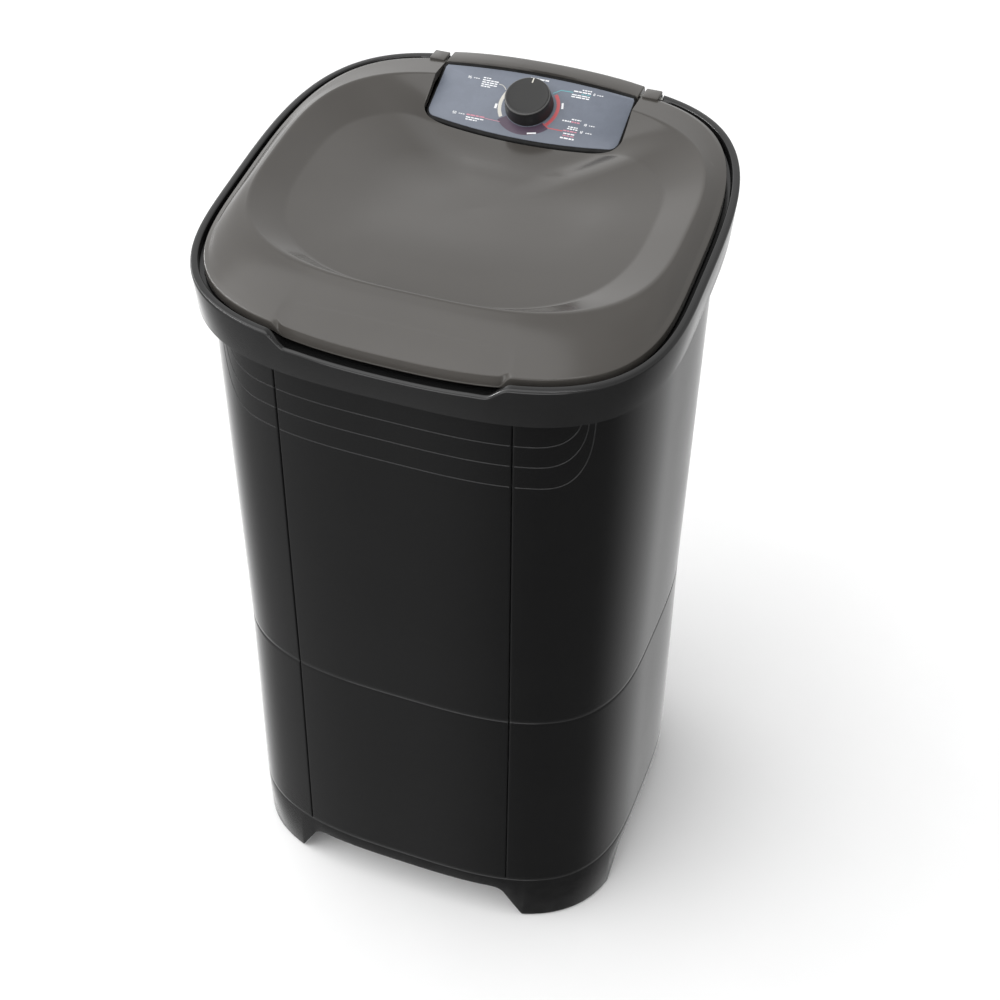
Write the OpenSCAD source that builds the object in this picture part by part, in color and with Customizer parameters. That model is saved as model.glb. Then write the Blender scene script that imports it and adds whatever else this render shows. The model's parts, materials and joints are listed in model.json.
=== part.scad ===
// Semi-automatic top-loading washing machine: a rounded cabinet on four corner
// feet, a sloping collar, a hinged lid with a dished top, a wedge console with
// one timer knob, and a belt-driven agitator in a plastic tub.
// Millimetres. Front faces -Y, up is +Z, origin under the middle at floor level.

/* [Rim and cabinet] */
// Width across the collar rim
rim_w = 590; // [586:2:596]
// Height of the rim plane above the outline centre
rim_h = 956; // [952:1:960]
// Rise of the rim plane per millimetre of depth
rim_slope = 0.156; // [0.15:0.002:0.16]
// Height of the shadow line round the cabinet
seam_h = 387; // [370:1:400]
// Distance of the front panel joints from the middle
joint_x = 143; // [138:1:148]
// Thickness of the cabinet panels
panel_t = 3.2; // [2.8:0.1:3.3]

/* [Lid] */
// Gap between the lid edge and the outside of the rim
lid_inset = 16; // [15.5:0.5:17]
// Thickness of the lid moulding
lid_t = 2.6; // [2.2:0.1:3]
// Depth of the scoop in the front of the rim
dip_h = 14; // [10:1:15]

/* [Console] */
// Diameter of the timer knob at its base
knob_d = 60; // [50:1:62]
// Height of the timer knob
knob_h = 22; // [18:1:26]

/* [Washing system] */
// Diameter of the agitator plate
agitator_d = 300; // [260:5:310]
// Height of the agitator vanes above the plate
vane_h = 46; // [30:1:60]
// Diameter of the large pulley
pulley_d = 200; // [180:2:204]
// Diameter of the motor pulley
pinion_d = 52; // [48:1:56]

/* [Hidden] */
$fn = 64;
rim_f = 220;          // outline centre to the front of the rim
rim_b = 320;          // outline centre to the rear of the rim
plinth_h = 78;
yc = -50;             // outline centre in the frame
nf = 3.15;            // squareness of the front half of the outline
nb = 3.55;            // squareness of the rear half
hinge_y = 304;        // lid hinge, in outline coordinates
hinge_z = 1000;
axis_y = 50;          // drive axis, in outline coordinates
motor_y = 190;        // motor axis
lab_y = 211;          // front corner of the control label
lab_z = 975;
tilt = 25;            // slope of the control label
knob_v = 37.7;        // knob centre up the label from its front corners
black = [0.13, 0.13, 0.135];
grey = [0.42, 0.41, 0.39];
steel = [0.7, 0.71, 0.72];
HALF = concat([for (k = [0:7]) k * 4], [30, 31.5, 33, 34.5, 36, 38.5, 41, 44, 47, 50, 54, 58], [for (k = [62:4:178]) k]);
PH = concat(HALF, [180], [for (k = [len(HALF) - 1:-1:1]) 360 - HALF[k]]);   // angles round a loft

// ---- outlines ------------------------------------------------------------
function lerp(a, b, t) = a + (b - a) * t;
function clamp01(t) = max(0, min(1, t));
function smooth(a, b, v) = let(t = clamp01((v - a) / (b - a))) t * t * (3 - 2 * t);
function mix2(a, b, t) = [lerp(a[0], b[0], t), lerp(a[1], b[1], t)];
// point of a split superellipse at angle p from the front, moved inward by d
function sp(p, a, bf, bb, n1, n2, d = 0, y0 = 0) =
  let(c = cos(p), s = sin(p), b = c > 0 ? bf : bb, n = c > 0 ? n1 : n2,
      r = pow(pow(abs(s / a), n) + pow(abs(c / b), n), -1 / n), x = r * s, y = -r * c,
      gx = sign(x) * pow(abs(x) / a, n - 1) / a, gy = sign(y) * pow(abs(y) / b, n - 1) / b, g = norm([gx, gy]))
  [x - d * gx / g, y + y0 - d * gy / g];
function rim(p, d = 0) = sp(p, rim_w / 2, rim_f, rim_b, nf, nb, d);
function rim_z(y) = rim_h + rim_slope * y;
// cabinet outline at height z: half width, front, rear, shift
function cab(z) = let(u = max(0, (z - seam_h) / 507), w = clamp01((plinth_h - z) / 78), q = clamp01((z - plinth_h) / (seam_h - plinth_h)))
  [rim_w / 2 * (0.898 + 0.031 * u - 0.005 * w), rim_f * (0.938 + 0.032 * u - 0.005 * w),
   rim_b * (0.918 + 0.027 * u - 0.005 * w), 3 * q + 3 * u];
function cabp(p, z, d = 0) = let(c = cab(z)) sp(p, c[0], c[1], c[2], nf, nb, d, c[3]);
function cab_y(x, z, s) = let(c = cab(z), b = s < 0 ? c[1] : c[2], n = s < 0 ? nf : nb)
  c[3] + s * b * pow(1 - pow(abs(x) / c[0], n), 1 / n);
// scoop in the front of the rim for the fingers
function dip(x, y) = y < 0 ? dip_h * (1 + 0.2 * max(0, 1 - pow(x / 100, 2))) * (1 - smooth(116, 143, abs(x))) : 0;
function P(q, z) = [q[0], q[1] + yc, z];

// ---- lofts ---------------------------------------------------------------
// rings closed both ways
module ringloft(R) {
  M = len(R); K = len(R[0]);
  polyhedron(points = [for (r = R) each r], faces = [for (j = [0:M - 1], i = [0:K - 1])
    let(a = j * K + i, b = j * K + (i + 1) % K, c = ((j + 1) % M) * K + (i + 1) % K, d = ((j + 1) % M) * K + i)
    each [[a, c, b], [a, d, c]]], convexity = 8);
}
// closed profiles swept along columns, with flat ends
module striploft(C) {
  M = len(C); K = len(C[0]);
  polyhedron(points = [for (c = C) each c], faces = concat([[for (i = [K - 1:-1:0]) i]], [[for (i = [0:K - 1]) (M - 1) * K + i]],
    [for (k = [0:M - 2], i = [0:K - 1])
      let(a = k * K + i, b = (k + 1) * K + i, c = (k + 1) * K + (i + 1) % K, d = k * K + (i + 1) % K)
      each [[a, c, b], [a, d, c]]]), convexity = 8);
}
// rings from a top centre point out, over the edge and back to a bottom centre point
module shellloft(T, R, B) {
  M = len(R); K = len(R[0]); t = M * K; b0 = t + 1;
  polyhedron(points = concat([for (r = R) each r], [T, B]), faces = concat(
    [for (i = [0:K - 1]) [t, (i + 1) % K, i]],
    [for (i = [0:K - 1]) [b0, (M - 1) * K + i, (M - 1) * K + (i + 1) % K]],
    [for (j = [0:M - 2], i = [0:K - 1])
      let(a = j * K + i, b = j * K + (i + 1) % K, c = (j + 1) * K + (i + 1) % K, d = (j + 1) * K + i)
      each [[a, b, c], [a, c, d]]]), convexity = 8);
}
module at(x, y, z = 0) translate([x, y + yc, z]) children();
module along_x() rotate([0, 90, 0]) children();
module along_y() rotate([-90, 0, 0]) children();
// prisms that run along Y or X, in outline coordinates
module prism_y(pts, y1, y2) translate([0, y2 + yc, 0]) rotate([90, 0, 0]) linear_extrude(y2 - y1) polygon(pts);
module prism_x(pts, x1, x2) translate([x1, yc, 0]) rotate([90, 0, 90]) linear_extrude(x2 - x1) polygon(pts);
module ring(r1, r2, h) difference() { cylinder(r = r2, h = h); translate([0, 0, -1]) cylinder(r = r1, h = h + 2); }

// ---- plinth and cabinet --------------------------------------------------
pads = [[-207, -124], [207, -124], [-200, 208], [200, 208]];
function arch(h, x0) = [[x0 - h - 2, -5], [x0 - h, 0], [x0 - h + 26, 48], [x0 - h + 33, 55], [x0 - h + 42, 57.5],
  [x0 + h - 42, 57.5], [x0 + h - 33, 55], [x0 + h - 26, 48], [x0 + h, 0], [x0 + h + 2, -5]];
module plinth() color(black) difference() {
  union() {
    ringloft([for (e = [[0, 2], [0, plinth_h - 1.2], [1.2, plinth_h], [3.5, plinth_h], [3.5, plinth_h + 20], [6.5, plinth_h + 20],
      [6.5, plinth_h - 10], [4, plinth_h - 14], [4, 2]]) [for (p = PH) P(cabp(p, e[1], e[0]), e[1])]]);
    // floors of the feet
    for (q = pads) intersection() {
      shellloft(P([0, 40], 6), [for (e = [[3, 6], [3, 2]]) [for (p = PH) P(cabp(p, e[1], e[0]), e[1])]], P([0, 40], 2));
      at(sign(q[0]) * 222 - 55, q[1] < 0 ? -250 : 182, 1) cube([110, q[1] < 0 ? 164 : 160, 6]);
    }
  }
  prism_y(arch(166, 0), -260, -100);
  prism_y(arch(166, 0), 170, 330);
  prism_x(arch(142, 47), -300, -150);
  prism_x(arch(142, 47), 150, 300);
  for (q = pads) at(q[0], q[1], 1) cylinder(r = 5, h = 10);
}
module foot_pads() color([0.06, 0.06, 0.06]) for (q = pads) at(q[0], q[1], 0) {
  cylinder(r = 19, h = 2);
  cylinder(r = 4.9, h = 9);
}
// panel profile: inward offset, kind, value; kind 0 is a height, 1 a depth below the rim plane
function wall(d1, d2) = [[d1 + 1.2, 0, plinth_h], [d1, 0, plinth_h + 1.2], [d1, 0, seam_h - 1.2], [d1 + 0.9, 0, seam_h],
  [d1, 0, seam_h + 1.2], [d1, 1, 31], [d2, 1, 31], [d2, 0, seam_h], [d2, 0, plinth_h]];
function wz(e, y) = e[1] == 0 ? e[2] : rim_z(y) - e[2];
function pcol(x, s, W) = [for (e = W) let(z0 = wz(e, s < 0 ? -207 : 306), y = cab_y(x, z0, s) - s * e[0] * 1.03) P([x, y], wz(e, y))];
module panel_y(s) striploft([for (k = [0:24]) pcol(s * lerp(joint_x - 0.6, 0.6 - joint_x, k / 24), s, wall(0, panel_t))]);
function phi(x, z, s) = atan2(x, cab(z)[3] - cab_y(x, z, s));
// side panel columns run from the front joint round to the rear joint
function scol(t, g) = [for (e = wall(0, panel_t)) let(zr = wz(e, lerp(-207, 306, t)), a = phi(joint_x + 0.6, zr, -1), b = phi(joint_x + 0.6, zr, 1),
  q = cabp(lerp(a, b, t), zr, e[0])) P([g * q[0], q[1]], wz(e, q[1]))];
// strips that lie behind the joints
function strip(d1, d2, z0) = [[d1, 0, z0], [d1, 0, seam_h], [d1, 1, 52], [d2, 1, 52], [d2, 0, seam_h], [d2, 0, z0]];
module joint_strips() color(black) for (g = [-1, 1], s = [-1, 1]) let(z0 = g < 0 && s > 0 ? out_z + 14 : plinth_h + 21)
  striploft([for (k = [0:6]) let(t = g * s < 0 ? k / 6 : 1 - k / 6) pcol(g * (joint_x + lerp(-14, 14, t)), s, strip(3.7, 6, z0))]);
module side_panel(g) striploft([for (k = [0:44]) scol(g > 0 ? k / 44 : 1 - k / 44, g)]);
module front_panel() color(black) panel_y(-1);
module left_side_panel() color(black) side_panel(-1);
module right_side_panel() color(black) side_panel(1);
cover_screws = [[-92, 122], [92, 122], [-92, 318], [92, 318]];
out_x = -125; out_z = 122;
gl_x = 118; gl_z = 160;
module rear_panel() color(black) difference() {
  panel_y(1);
  at(-84, 250, 114) cube([168, 80, 212]);
  for (q = cover_screws) at(q[0], 250, q[1]) along_y() cylinder(r = 1.8, h = 80);
  at(gl_x, 250, gl_z) along_y() cylinder(r = 8, h = 80);
  at(out_x, 250, out_z) along_y() cylinder(r = 12.3, h = 80);
}
module service_cover() color([0.16, 0.16, 0.16]) difference() {
  striploft([for (k = [0:20]) let(x = lerp(102, -102, k / 20)) [for (e = [[2.4, 105.5], [2.4, 334.5], [1.2, 336], [0.1, 336], [0.1, 104], [1.2, 104]])
    P([x, cab_y(x, e[1], 1) + e[0]], e[1])]]);
  for (q = cover_screws) at(q[0], 250, q[1]) along_y() cylinder(r = 1.8, h = 80);
  for (k = [0:6]) at(-60, 250, 180 + 14 * k) cube([120, 80, 5]);
}
module service_cover_screws() color(steel) for (q = cover_screws) at(q[0], cab_y(abs(q[0]) - 4, q[1], 1) + 2.5, q[1]) difference() {
  union() { along_y() cylinder(r = 4, h = 2); translate([0, -12, 0]) along_y() cylinder(r = 1.8, h = 12); }
  translate([-0.5, 1.2, -3]) cube([1, 2, 6]);
}

// ---- collar --------------------------------------------------------------
// inward offset, kind, value, share of the scoop; kind 0 is above the rim plane, 1 a height
collar_prof = [[4.2, 0, -52, 0], [0, 0, -3, 1], [0.9, 0, -0.9, 1], [3, 0, 0, 1], [8.3, 0, 0, 1, 4], [9.6, 0, -1.2, 1, 4], [9.9, 0, -12, 0.83, 1],
  [33, 0, -12, 0.83], [36, 0, -14, 0.83], [37, 1, 884, 0], [34, 1, 884, 0], [32, 0, -15.2, 0.83], [11.5, 0, -15.2, 0.83], [7, 0, -52, 0]];
module top_collar() color(black) difference() {
  union() {
    difference() {
      union() {
      ringloft([for (e = collar_prof) [for (p = PH) let(o = rim(p, e[0]), q = rim(p, e[0] - (len(e) > 4 ? e[4] * min(1, dip(o[0], o[1]) / dip_h) : 0)))
        P(q, e[1] == 0 ? rim_z(q[1]) + e[2] - e[3] * dip(o[0], o[1]) : e[2])]]);
      // locating rib inside the panels
      ringloft([for (e = [[4, -48, 0], [4, -13, 0.83], [6.8, -13, 0.83], [6.8, -48, 0]]) [for (p = PH)
        let(q = cabp(p, 900, e[0])) P(q, rim_z(q[1]) + e[1] - e[2] * dip(q[0], q[1]))]]);
      }
      // room for the console and the lid hinge
      at(-142, 196, 944) cube([284, 95, 100]);
      at(-127.2, 240, 985) cube([254.4, 100, 60]);
      for (g = [-1, 1]) at(g * 139.4 - 12.3, 289, 984.5) cube([24.6, 60, 40]);
    }
    // tray under the console
    difference() {
      at(-148, 190, 941) cube([296, 96.5, 5.9]);
      at(-145, 193, 944) cube([290, 91, 20]);
    }
    // bearing blocks for the lid pins
    for (g = [-1, 1]) at(g * 159 - 6.5, 297, 985) cube([13, 12, 17]);
  }
  for (g = [-1, 1]) at(g * 140 - 31, hinge_y, hinge_z) along_x() cylinder(r = 2.5, h = 62);
}

// ---- lid -----------------------------------------------------------------
function notch(x, y) = y < 0 ? 1 - smooth(126, 141, abs(x)) : 0;
function dish_o(p, d = 0) = sp(p, 255, 188, 205, 3.03, 3.3, d, 55);
function dish_i(p, d = 0) = sp(p, 213, 186, 146, 2.65, 3.2, d, 60);
function z_o(q) = rim_z(q[1]) + 20.9 - 8.3 * q[1] / 200 + 1.1 * pow(q[1] / 200, 2);
function z_i(q) = let(y = q[1], z = rim_z(y) + 9.4 - 10 * y / 200 - 3.2 * pow(y / 200, 2)) lerp(z, min(z, 961.3), y < 110 ? 0 : smooth(110, 150, y) * (1 - smooth(70, 160, abs(q[0]))));
lid_c = [0, 50];
lid_floor = 958;
// ring k of the lid, from the middle of the dish to the edge: [x, y, z]
function edge(p, d, n = 0) = let(q = rim(p, lid_inset)) rim(p, lid_inset + d + n * notch(q[0], q[1]));
// pad behind the lip, tilted down to the front, and the rise of the lip to its ends
function lipx(x) = 3.3 * min(1.27, pow(x / 112, 2));
function pad(x, y) = (6.1 - lipx(x)) * (1 - smooth(124, 140, abs(x))) * clamp01((-170 - y) / 32);
function lring(k, p) = let(o = dish_o(p), i = dish_i(p), e = edge(p, 6, -4.4), f = edge(p, 0.8, 0.1), g = edge(p, 0, 0.6),
    ze = rim_z(e[1]) + 5.2 - 2.2 * notch(e[0], e[1]))
  k == 0 ? concat(mix2(lid_c, i, 0.5), lerp(lid_floor, z_i(i), 0.25)) :
  k == 1 ? concat(mix2(lid_c, i, 0.8), lerp(lid_floor, z_i(i), 0.63)) :
  k == 2 ? concat(i, z_i(i)) :
  k == 3 ? concat(o, z_o(o)) :
  k == 4 ? let(q = mix2(o, e, 0.4)) concat(q, lerp(z_o(o), ze, 0.3) - pad(q[0], q[1])) :
  k == 5 ? let(q = mix2(o, e, 0.8)) concat(q, lerp(z_o(o), ze, 0.74) - pad(q[0], q[1])) :
  k == 6 ? concat(e, ze - pad(e[0], e[1])) :
  k == 7 ? concat(f, rim_z(f[1]) + 2.6 - (18.6 - lipx(f[0])) * notch(f[0], f[1])) :
  k == 8 ? concat(g, rim_z(g[1]) + 1.6 - (18.3 - lipx(g[0])) * notch(g[0], g[1])) :
  concat(g, rim_z(g[1]) - 9 - (8.6 - lipx(g[0])) * notch(g[0], g[1]));
// the same ring on the underside
function uring(k, p) = let(a = lring(k, p), d = lid_t - 0.4, i = dish_i(p, -d), o = dish_o(p, -d), g = edge(p, lid_t, 0.6), e = edge(p, 6, -1.8), w = notch(g[0], g[1]))
  k == 2 ? concat(i, a[2] - lid_t) : k == 3 ? concat(o, a[2] - lid_t) : k >= 9 ? concat(g, a[2]) :
  k >= 7 ? concat(g, rim_z(g[1]) - 0.4 - (7.3 - lipx(g[0])) * w) : k == 6 ? concat(e, a[2] - lid_t + w) : concat([a[0], a[1]], a[2] - lid_t);
function P3(a) = [a[0], a[1] + yc, a[2]];
function console_front(x, o = 0) = let(t = clamp01((abs(x) - 113.5) / 13)) 196.8 - o + 10.5 * pow(x / 126.5, 2) + 13 * (1 - sqrt(1 - t * t));
function front_pts(h, o) = [for (k = [-18:18]) let(t = k / 18, x = 126.5 * sign(t) * (1 - pow(1 - abs(t), 1.6))) [x * h / 126.5, console_front(x, o)]];
// raised apron in front of the console: level with the label at its front edge, falling to the dish
function apron_z(x, y) = let(a = min(abs(x), 130.5), c = console_front(a), b = 211.7 - 77 * pow(1 - pow(a / 131, 2.7), 1 / 2.7), t = clamp01((c - y) / (c - b)),
    h = lab_z + (c - lab_y) * tan(tilt) - 1.5) lerp(lerp(h, 959.8, smooth(-0.25, 1, t) * 1.12 - 0.12), 951.3, smooth(124, 150, abs(x)));
function apron(s, z) = [for (p = PH) let(q = sp(p, 131 * s, 77 * s, 77 * s, 2.7, 2.7, 0, 211.7)) P(q, max(957.9, apron_z(q[0], q[1])) - z)];
module lid_shell() difference() {
  union() {
    shellloft(P3(concat(lid_c, lid_floor)),
      concat([for (k = [0:9]) [for (p = PH) P3(lring(k, p))]], [for (k = [9, 8, 6, 5, 4, 3, 2, 1, 0]) [for (p = PH) P3(uring(k, p))]]),
      P3(concat(lid_c, lid_floor - lid_t)));
    difference() {
      shellloft(P([0, 211.7], 967), [apron(0.25, 0), apron(0.4, 0), apron(0.55, 0), apron(0.7, 0), apron(0.85, 0), apron(1, 0),
        [for (p = PH) P(sp(p, 128, 75, 75, 2.7, 2.7, 0, 211.7), 957.5)]], P([0, 211.7], 957.5));
      shellloft(P([0, 211.7], 964.4), [apron(0.25, 2.6), apron(0.4, 2.6), apron(0.55, 2.6), apron(0.7, 2.6), apron(0.83, 2.6), apron(0.83, 20)], P([0, 211.7], 930));
    }
  }
  // room for the console
  at(0, 0, 900) linear_extrude(200) polygon(concat(front_pts(127.8, 1.4), [[127.8, 340], [-127.8, 340]]));
  for (g = [-1, 1]) at(g * 139.65 - 12, hinge_y - 7.5, 980) cube([24, 30, 40]);
  }
module lid() color(grey) difference() {
  union() {
    lid_shell();
    for (g = [-1, 1]) at(g * 139.65 - 10.15, 0, 0) {
      translate([0, hinge_y, hinge_z]) along_x() cylinder(r = 6.5, h = 20.3);
      translate([0, 290, hinge_z - 0.5]) cube([20.3, 14, 7]);
    }
  }
  for (g = [-1, 1]) at(g * 140 - 31, hinge_y, hinge_z) along_x() cylinder(r = 2.55, h = 62);
}
module hinge_pins() color(steel) for (g = [-1, 1]) at(g * 141 - 23.4, hinge_y, hinge_z) along_x() cylinder(r = 2.5, h = 46.8);
module lid_bumpers() color([0.08, 0.08, 0.08]) for (p = [62, 118, 242, 298]) let(q = rim(p, lid_inset + 3))
  at(q[0], q[1], rim_z(q[1]) - 11.98) rotate([atan(rim_slope), 0, 0]) cylinder(r = 3.5, h = 2.3);

// ---- console -------------------------------------------------------------
// local frame of the label: x across, y up the slope, z out of it
module on_label(v = 0, w = 0) at(0, lab_y, lab_z) rotate([tilt, 0, 0]) translate([0, v, w]) children();
function lab_back(x) = 81.8 + 8 * (1 - pow(x / 125.3, 2));
function back_y(x) = lab_y + lab_back(x) * cos(tilt);
module console_body(h, o, w) difference() {
  at(0, 0, 947) linear_extrude(100) polygon(concat(front_pts(h, o), [for (k = [6:-1:-6]) [k / 6 * h, back_y(k / 6 * 124) + o]]));
  on_label(0, w) translate([-200, -100, 0]) cube([400, 300, 100]);
}
module label_shape(o) linear_extrude(1.2) polygon(concat([for (q = front_pts(127.6 - o, 0)) [q[0], (q[1] - lab_y) / cos(tilt) + o]],
  [for (k = [8:-1:-8]) [k / 8 * (127.6 - o), lab_back(k / 8 * 123) - (o - 3.5)]]));
module control_housing() color(black) difference() {
  console_body(126.2, 0, 0);
  translate([0, 0, -3]) console_body(123.2, -3, -2.6);
  on_label(0, -0.9) label_shape(4.6);
  on_label(knob_v, -6) cylinder(r = 6, h = 12);
  for (g = [-1, 1]) on_label(knob_v, -10) translate([g * 17, 0, 0]) cylinder(r = 1.5, h = 9);
  for (g = [-1, 1]) at(g * 141 - 25, hinge_y, hinge_z) along_x() cylinder(r = 3, h = 50);
}
module control_pan() color([0.2, 0.2, 0.2]) difference() {
  at(-140, 195, 944.2) cube([280, 87, 2.6]);
  at(60, 262, 940) cylinder(r = 6, h = 10);
}
function trim_z(x) = 1009.6 + 6 * (1 - pow(x / 125.3, 2));
function trim_r(x) = let(b = rim_b) b * pow(1 - pow(abs(x) / (rim_w / 2), nb), 1 / nb);
module trim_loft(h, i, z0) striploft([for (k = [0:20]) let(x = lerp(h, -h, k / 20), y1 = back_y(x) + 0.3 + i, y2 = trim_r(x) - i, z = trim_z(x) - i)
  [for (q = [[y2, z0], [y2, z - 5], [y2 - 1.6, z - 1.6], [y2 - 5, z], [y1, z], [y1, z0]]) P([x, q[0]], q[1])]]);
module console_trim() color(grey) difference() {
  trim_loft(125.4, 0, 985.2);
  trim_loft(122.6, 2.6, 980);
  for (g = [-1, 1]) at(g * 141 - 25, hinge_y, hinge_z) along_x() cylinder(r = 2.5, h = 50);
}
module control_label() color([0.52, 0.54, 0.57]) difference() {
  on_label(0, -0.9) label_shape(4.7);
  on_label(knob_v, -5) cylinder(r = 6, h = 12);
}
module timer_knob() color([0.2, 0.2, 0.2]) on_label(knob_v, 0.9) difference() {
  r = knob_d / 2;
  rotate_extrude($fn = 96) polygon([[0, 3], [26, 3], [27.4, 0], [r - 0.6, 0], [r, 0.6], [r, 3], [r - 1.6, knob_h - 1.6], [r - 2.4, knob_h - 0.5],
    [r - 3.4, knob_h], [0, knob_h]]);
  translate([0, 0, -1]) cylinder(r = 3, h = 15);
  translate([-0.7, r - 10, knob_h - 0.6]) cube([1.4, 12, 3]);
}
module timer_shaft() color(steel) on_label(knob_v, -24) cylinder(r = 3, h = 37);
module timer_body() color([0.85, 0.85, 0.82]) on_label(knob_v, -26.8) difference() {
  union() {
    cylinder(r = 23, h = 20);
    translate([0, 0, 20]) cylinder(r = 6, h = 2);
    for (g = [-1, 1]) translate([g * 17, 0, 16]) cylinder(r = 5, h = 5.4);
  }
  translate([0, 0, 1]) cylinder(r = 3.05, h = 40);
  for (g = [-1, 1]) translate([g * 17, 0, -1]) cylinder(r = 1.6, h = 40);
}
module timer_screws() color(steel) for (g = [-1, 1]) on_label(knob_v, -29) translate([g * 17, 0, 0]) {
  cylinder(r = 3, h = 2.1);
  cylinder(r = 1.5, h = 27.5);
}

// ---- tub -----------------------------------------------------------------
// height, half width, front, rear
tub_out = [[402, 212, 147, 243], [405, 216, 151, 247], [430, 232, 166, 262], [879.5, 256, 181, 281]];
function tubp(p, e, d = 0) = sp(p, e[1], e[2], e[3], nf, nb, d);
drain = [-125, 200];
bolt_ring = [[45, 45], [45, 135], [45, 225], [45, 315]];
module wash_tub() color([0.86, 0.87, 0.86]) difference() {
  shellloft(P([0, axis_y], 405), concat(
    [for (e = [[405, 211, 146, 242], [408, 214.5, 149.5, 245.5], [430, 229, 163, 259], [882.5, 253, 178, 278]]) [for (p = PH) P(tubp(p, e), e[0])]],
    [for (z = [882.5, 879.5]) [for (p = PH) P(rim(p, 29), z)]],
    [for (e = [tub_out[3], tub_out[2], tub_out[1], tub_out[0]]) [for (p = PH) P(tubp(p, e), e[0])]]), P([0, axis_y], 402));
  at(0, axis_y, 390) cylinder(r = 24, h = 30);
  at(drain[0], drain[1], 390) cylinder(r = 12.5, h = 30);
  for (a = [45:90:315]) at(0, axis_y, 390) rotate(a) translate([42, 0, 0]) cylinder(r = 3, h = 30);
  for (q = stand) at(q[0], q[1], 390) cylinder(r = 3, h = 30);
}
module tub_gasket() color([0.1, 0.1, 0.1]) ringloft([for (e = [[36.4, 882.6], [31, 882.6], [31, 883.9], [36.4, 883.9]]) [for (p = PH) P(rim(p, e[0]), e[1])]]);
module lint_filter_holder() color([0.8, 0.82, 0.84]) translate([0, -18, 0]) difference() {
  union() {
    at(-234, 50, 625) cube([22, 90, 150]);
    for (q = [[-239.2, 650], [-243.8, 740]]) at(q[0], 90, q[1]) cube([-233 - q[0], 10, 12]);
  }
  at(-231.6, 52.4, 628) cube([17.2, 85.2, 160]);
  for (k = [0:4]) at(-220, 60 + 15 * k, 640) cube([20, 9, 110]);
}
module lint_filter() color([0.35, 0.5, 0.62]) translate([0, -18, 0]) difference() {
  union() {
    at(-230, 54, 629) cube([10, 82, 145]);
    at(-228, 78, 770) cube([6, 34, 14]);
  }
  for (k = [0:5], j = [0:3]) at(-240, 59 + 12.4 * k, 640 + 31 * j) cube([30, 9, 26]);
}

// ---- drive ---------------------------------------------------------------
module agitator() color([0.88, 0.89, 0.9]) difference() {
  union() {
    at(0, axis_y, 0) rotate_extrude($fn = 96) polygon([[0, 414], [16, 411], [agitator_d / 2 - 8, 411], [agitator_d / 2 - 4, 408.5], [agitator_d / 2, 409], [agitator_d / 2, 413],
      [agitator_d / 2 - 6, 419], [96, 425], [56, 434], [40, 452], [32, 482], [27, 495], [0, 495]]);
    for (a = [0:90:270]) at(0, axis_y, 0) rotate(a) hull() {
      translate([30, 0, 420]) cylinder(r = 7, h = 58, $fn = 24);
      translate([88, 0, 420]) cylinder(r = 5, h = vane_h, $fn = 24);
      translate([agitator_d / 2 - 16, 0, 412]) cylinder(r = 4, h = 14, $fn = 24);
    }
  }
  at(0, axis_y, 400) cylinder(r = 7, h = 60);
  at(0, axis_y, 455) cylinder(r = 18, h = 60);
  at(0, axis_y, 400) rotate_extrude() polygon([[16, 8], [40, 8], [40, 26], [28, 32], [20, 50], [16, 50]]);
}
module agitator_bolt() color(steel) at(0, axis_y, 0) {
  translate([0, 0, 442]) cylinder(r = 3.4, h = 15);
  translate([0, 0, 455.1]) cylinder(r = 13, h = 2);
  translate([0, 0, 457]) cylinder(r = 7.5, h = 6, $fn = 6);
}
module agitator_cap() color([0.35, 0.5, 0.62]) at(0, axis_y, 0) rotate_extrude() polygon([[15, 484], [17.8, 484], [17.8, 495.2], [24, 495.2], [24, 497], [18, 501], [8, 503], [0, 503.4], [0, 500.5], [8, 500], [15, 498]]);
module drive_shaft() color(steel) difference() {
  at(0, axis_y, 252) cylinder(r = 7, h = 203);
  at(0, axis_y, 440) cylinder(r = 3.4, h = 20);
}
module bearing_housing() color([0.62, 0.63, 0.64]) at(0, axis_y, 0) difference() {
  union() {
    translate([0, 0, 300]) cylinder(r = 23.9, h = 107);
    translate([0, 0, 395]) cylinder(r = 55, h = 7);
  }
  translate([0, 0, 299]) cylinder(r = 12, h = 120);
  for (a = [45:90:315]) rotate(a) translate([42, 0, 380]) cylinder(r = 3, h = 30);
}
module upper_bush() color([0.7, 0.55, 0.3]) at(0, axis_y, 375) ring(7.05, 12, 20);
module lower_bush() color([0.7, 0.55, 0.3]) at(0, axis_y, 302) ring(7.05, 12, 20);
module shaft_seal() color([0.1, 0.1, 0.1]) at(0, axis_y, 397) ring(7.06, 12, 9);
module bearing_bolts() color(steel) for (a = [45:90:315]) at(0, axis_y, 0) rotate(a) translate([42, 0, 0]) {
  translate([0, 0, 391]) cylinder(r = 3, h = 14.1);
  translate([0, 0, 405.1]) cylinder(r = 5.4, h = 2.6);
  translate([0, 0, 391]) cylinder(r = 6, h = 4, $fn = 6);
}
module pulley(r, b, hub, z0) rotate_extrude($fn = 96) polygon([[b, z0], [hub, z0], [hub, z0 + 5], [r - 14, z0 + 5], [r - 14, z0], [r, z0], [r, z0 + 3.5],
  [r - 4, z0 + 3.5], [r - 4, z0 + 12.5], [r, z0 + 12.5], [r, z0 + 16], [r - 14, z0 + 16], [r - 14, z0 + 11], [hub, z0 + 11], [hub, z0 + 16], [b, z0 + 16]]);
module large_pulley() color([0.62, 0.63, 0.64]) difference() {
  at(0, axis_y, 0) pulley(pulley_d / 2, 7, 20, 262);
  for (a = [0:60:300]) at(0, axis_y, 250) rotate(a) translate([52, 0, 0]) cylinder(r = 17, h = 40);
}
module pulley_nut() color(steel) at(0, axis_y, 254) difference() { cylinder(r = 12, h = 7.9, $fn = 6); translate([0, 0, -1]) cylinder(r = 7, h = 12); }
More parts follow.
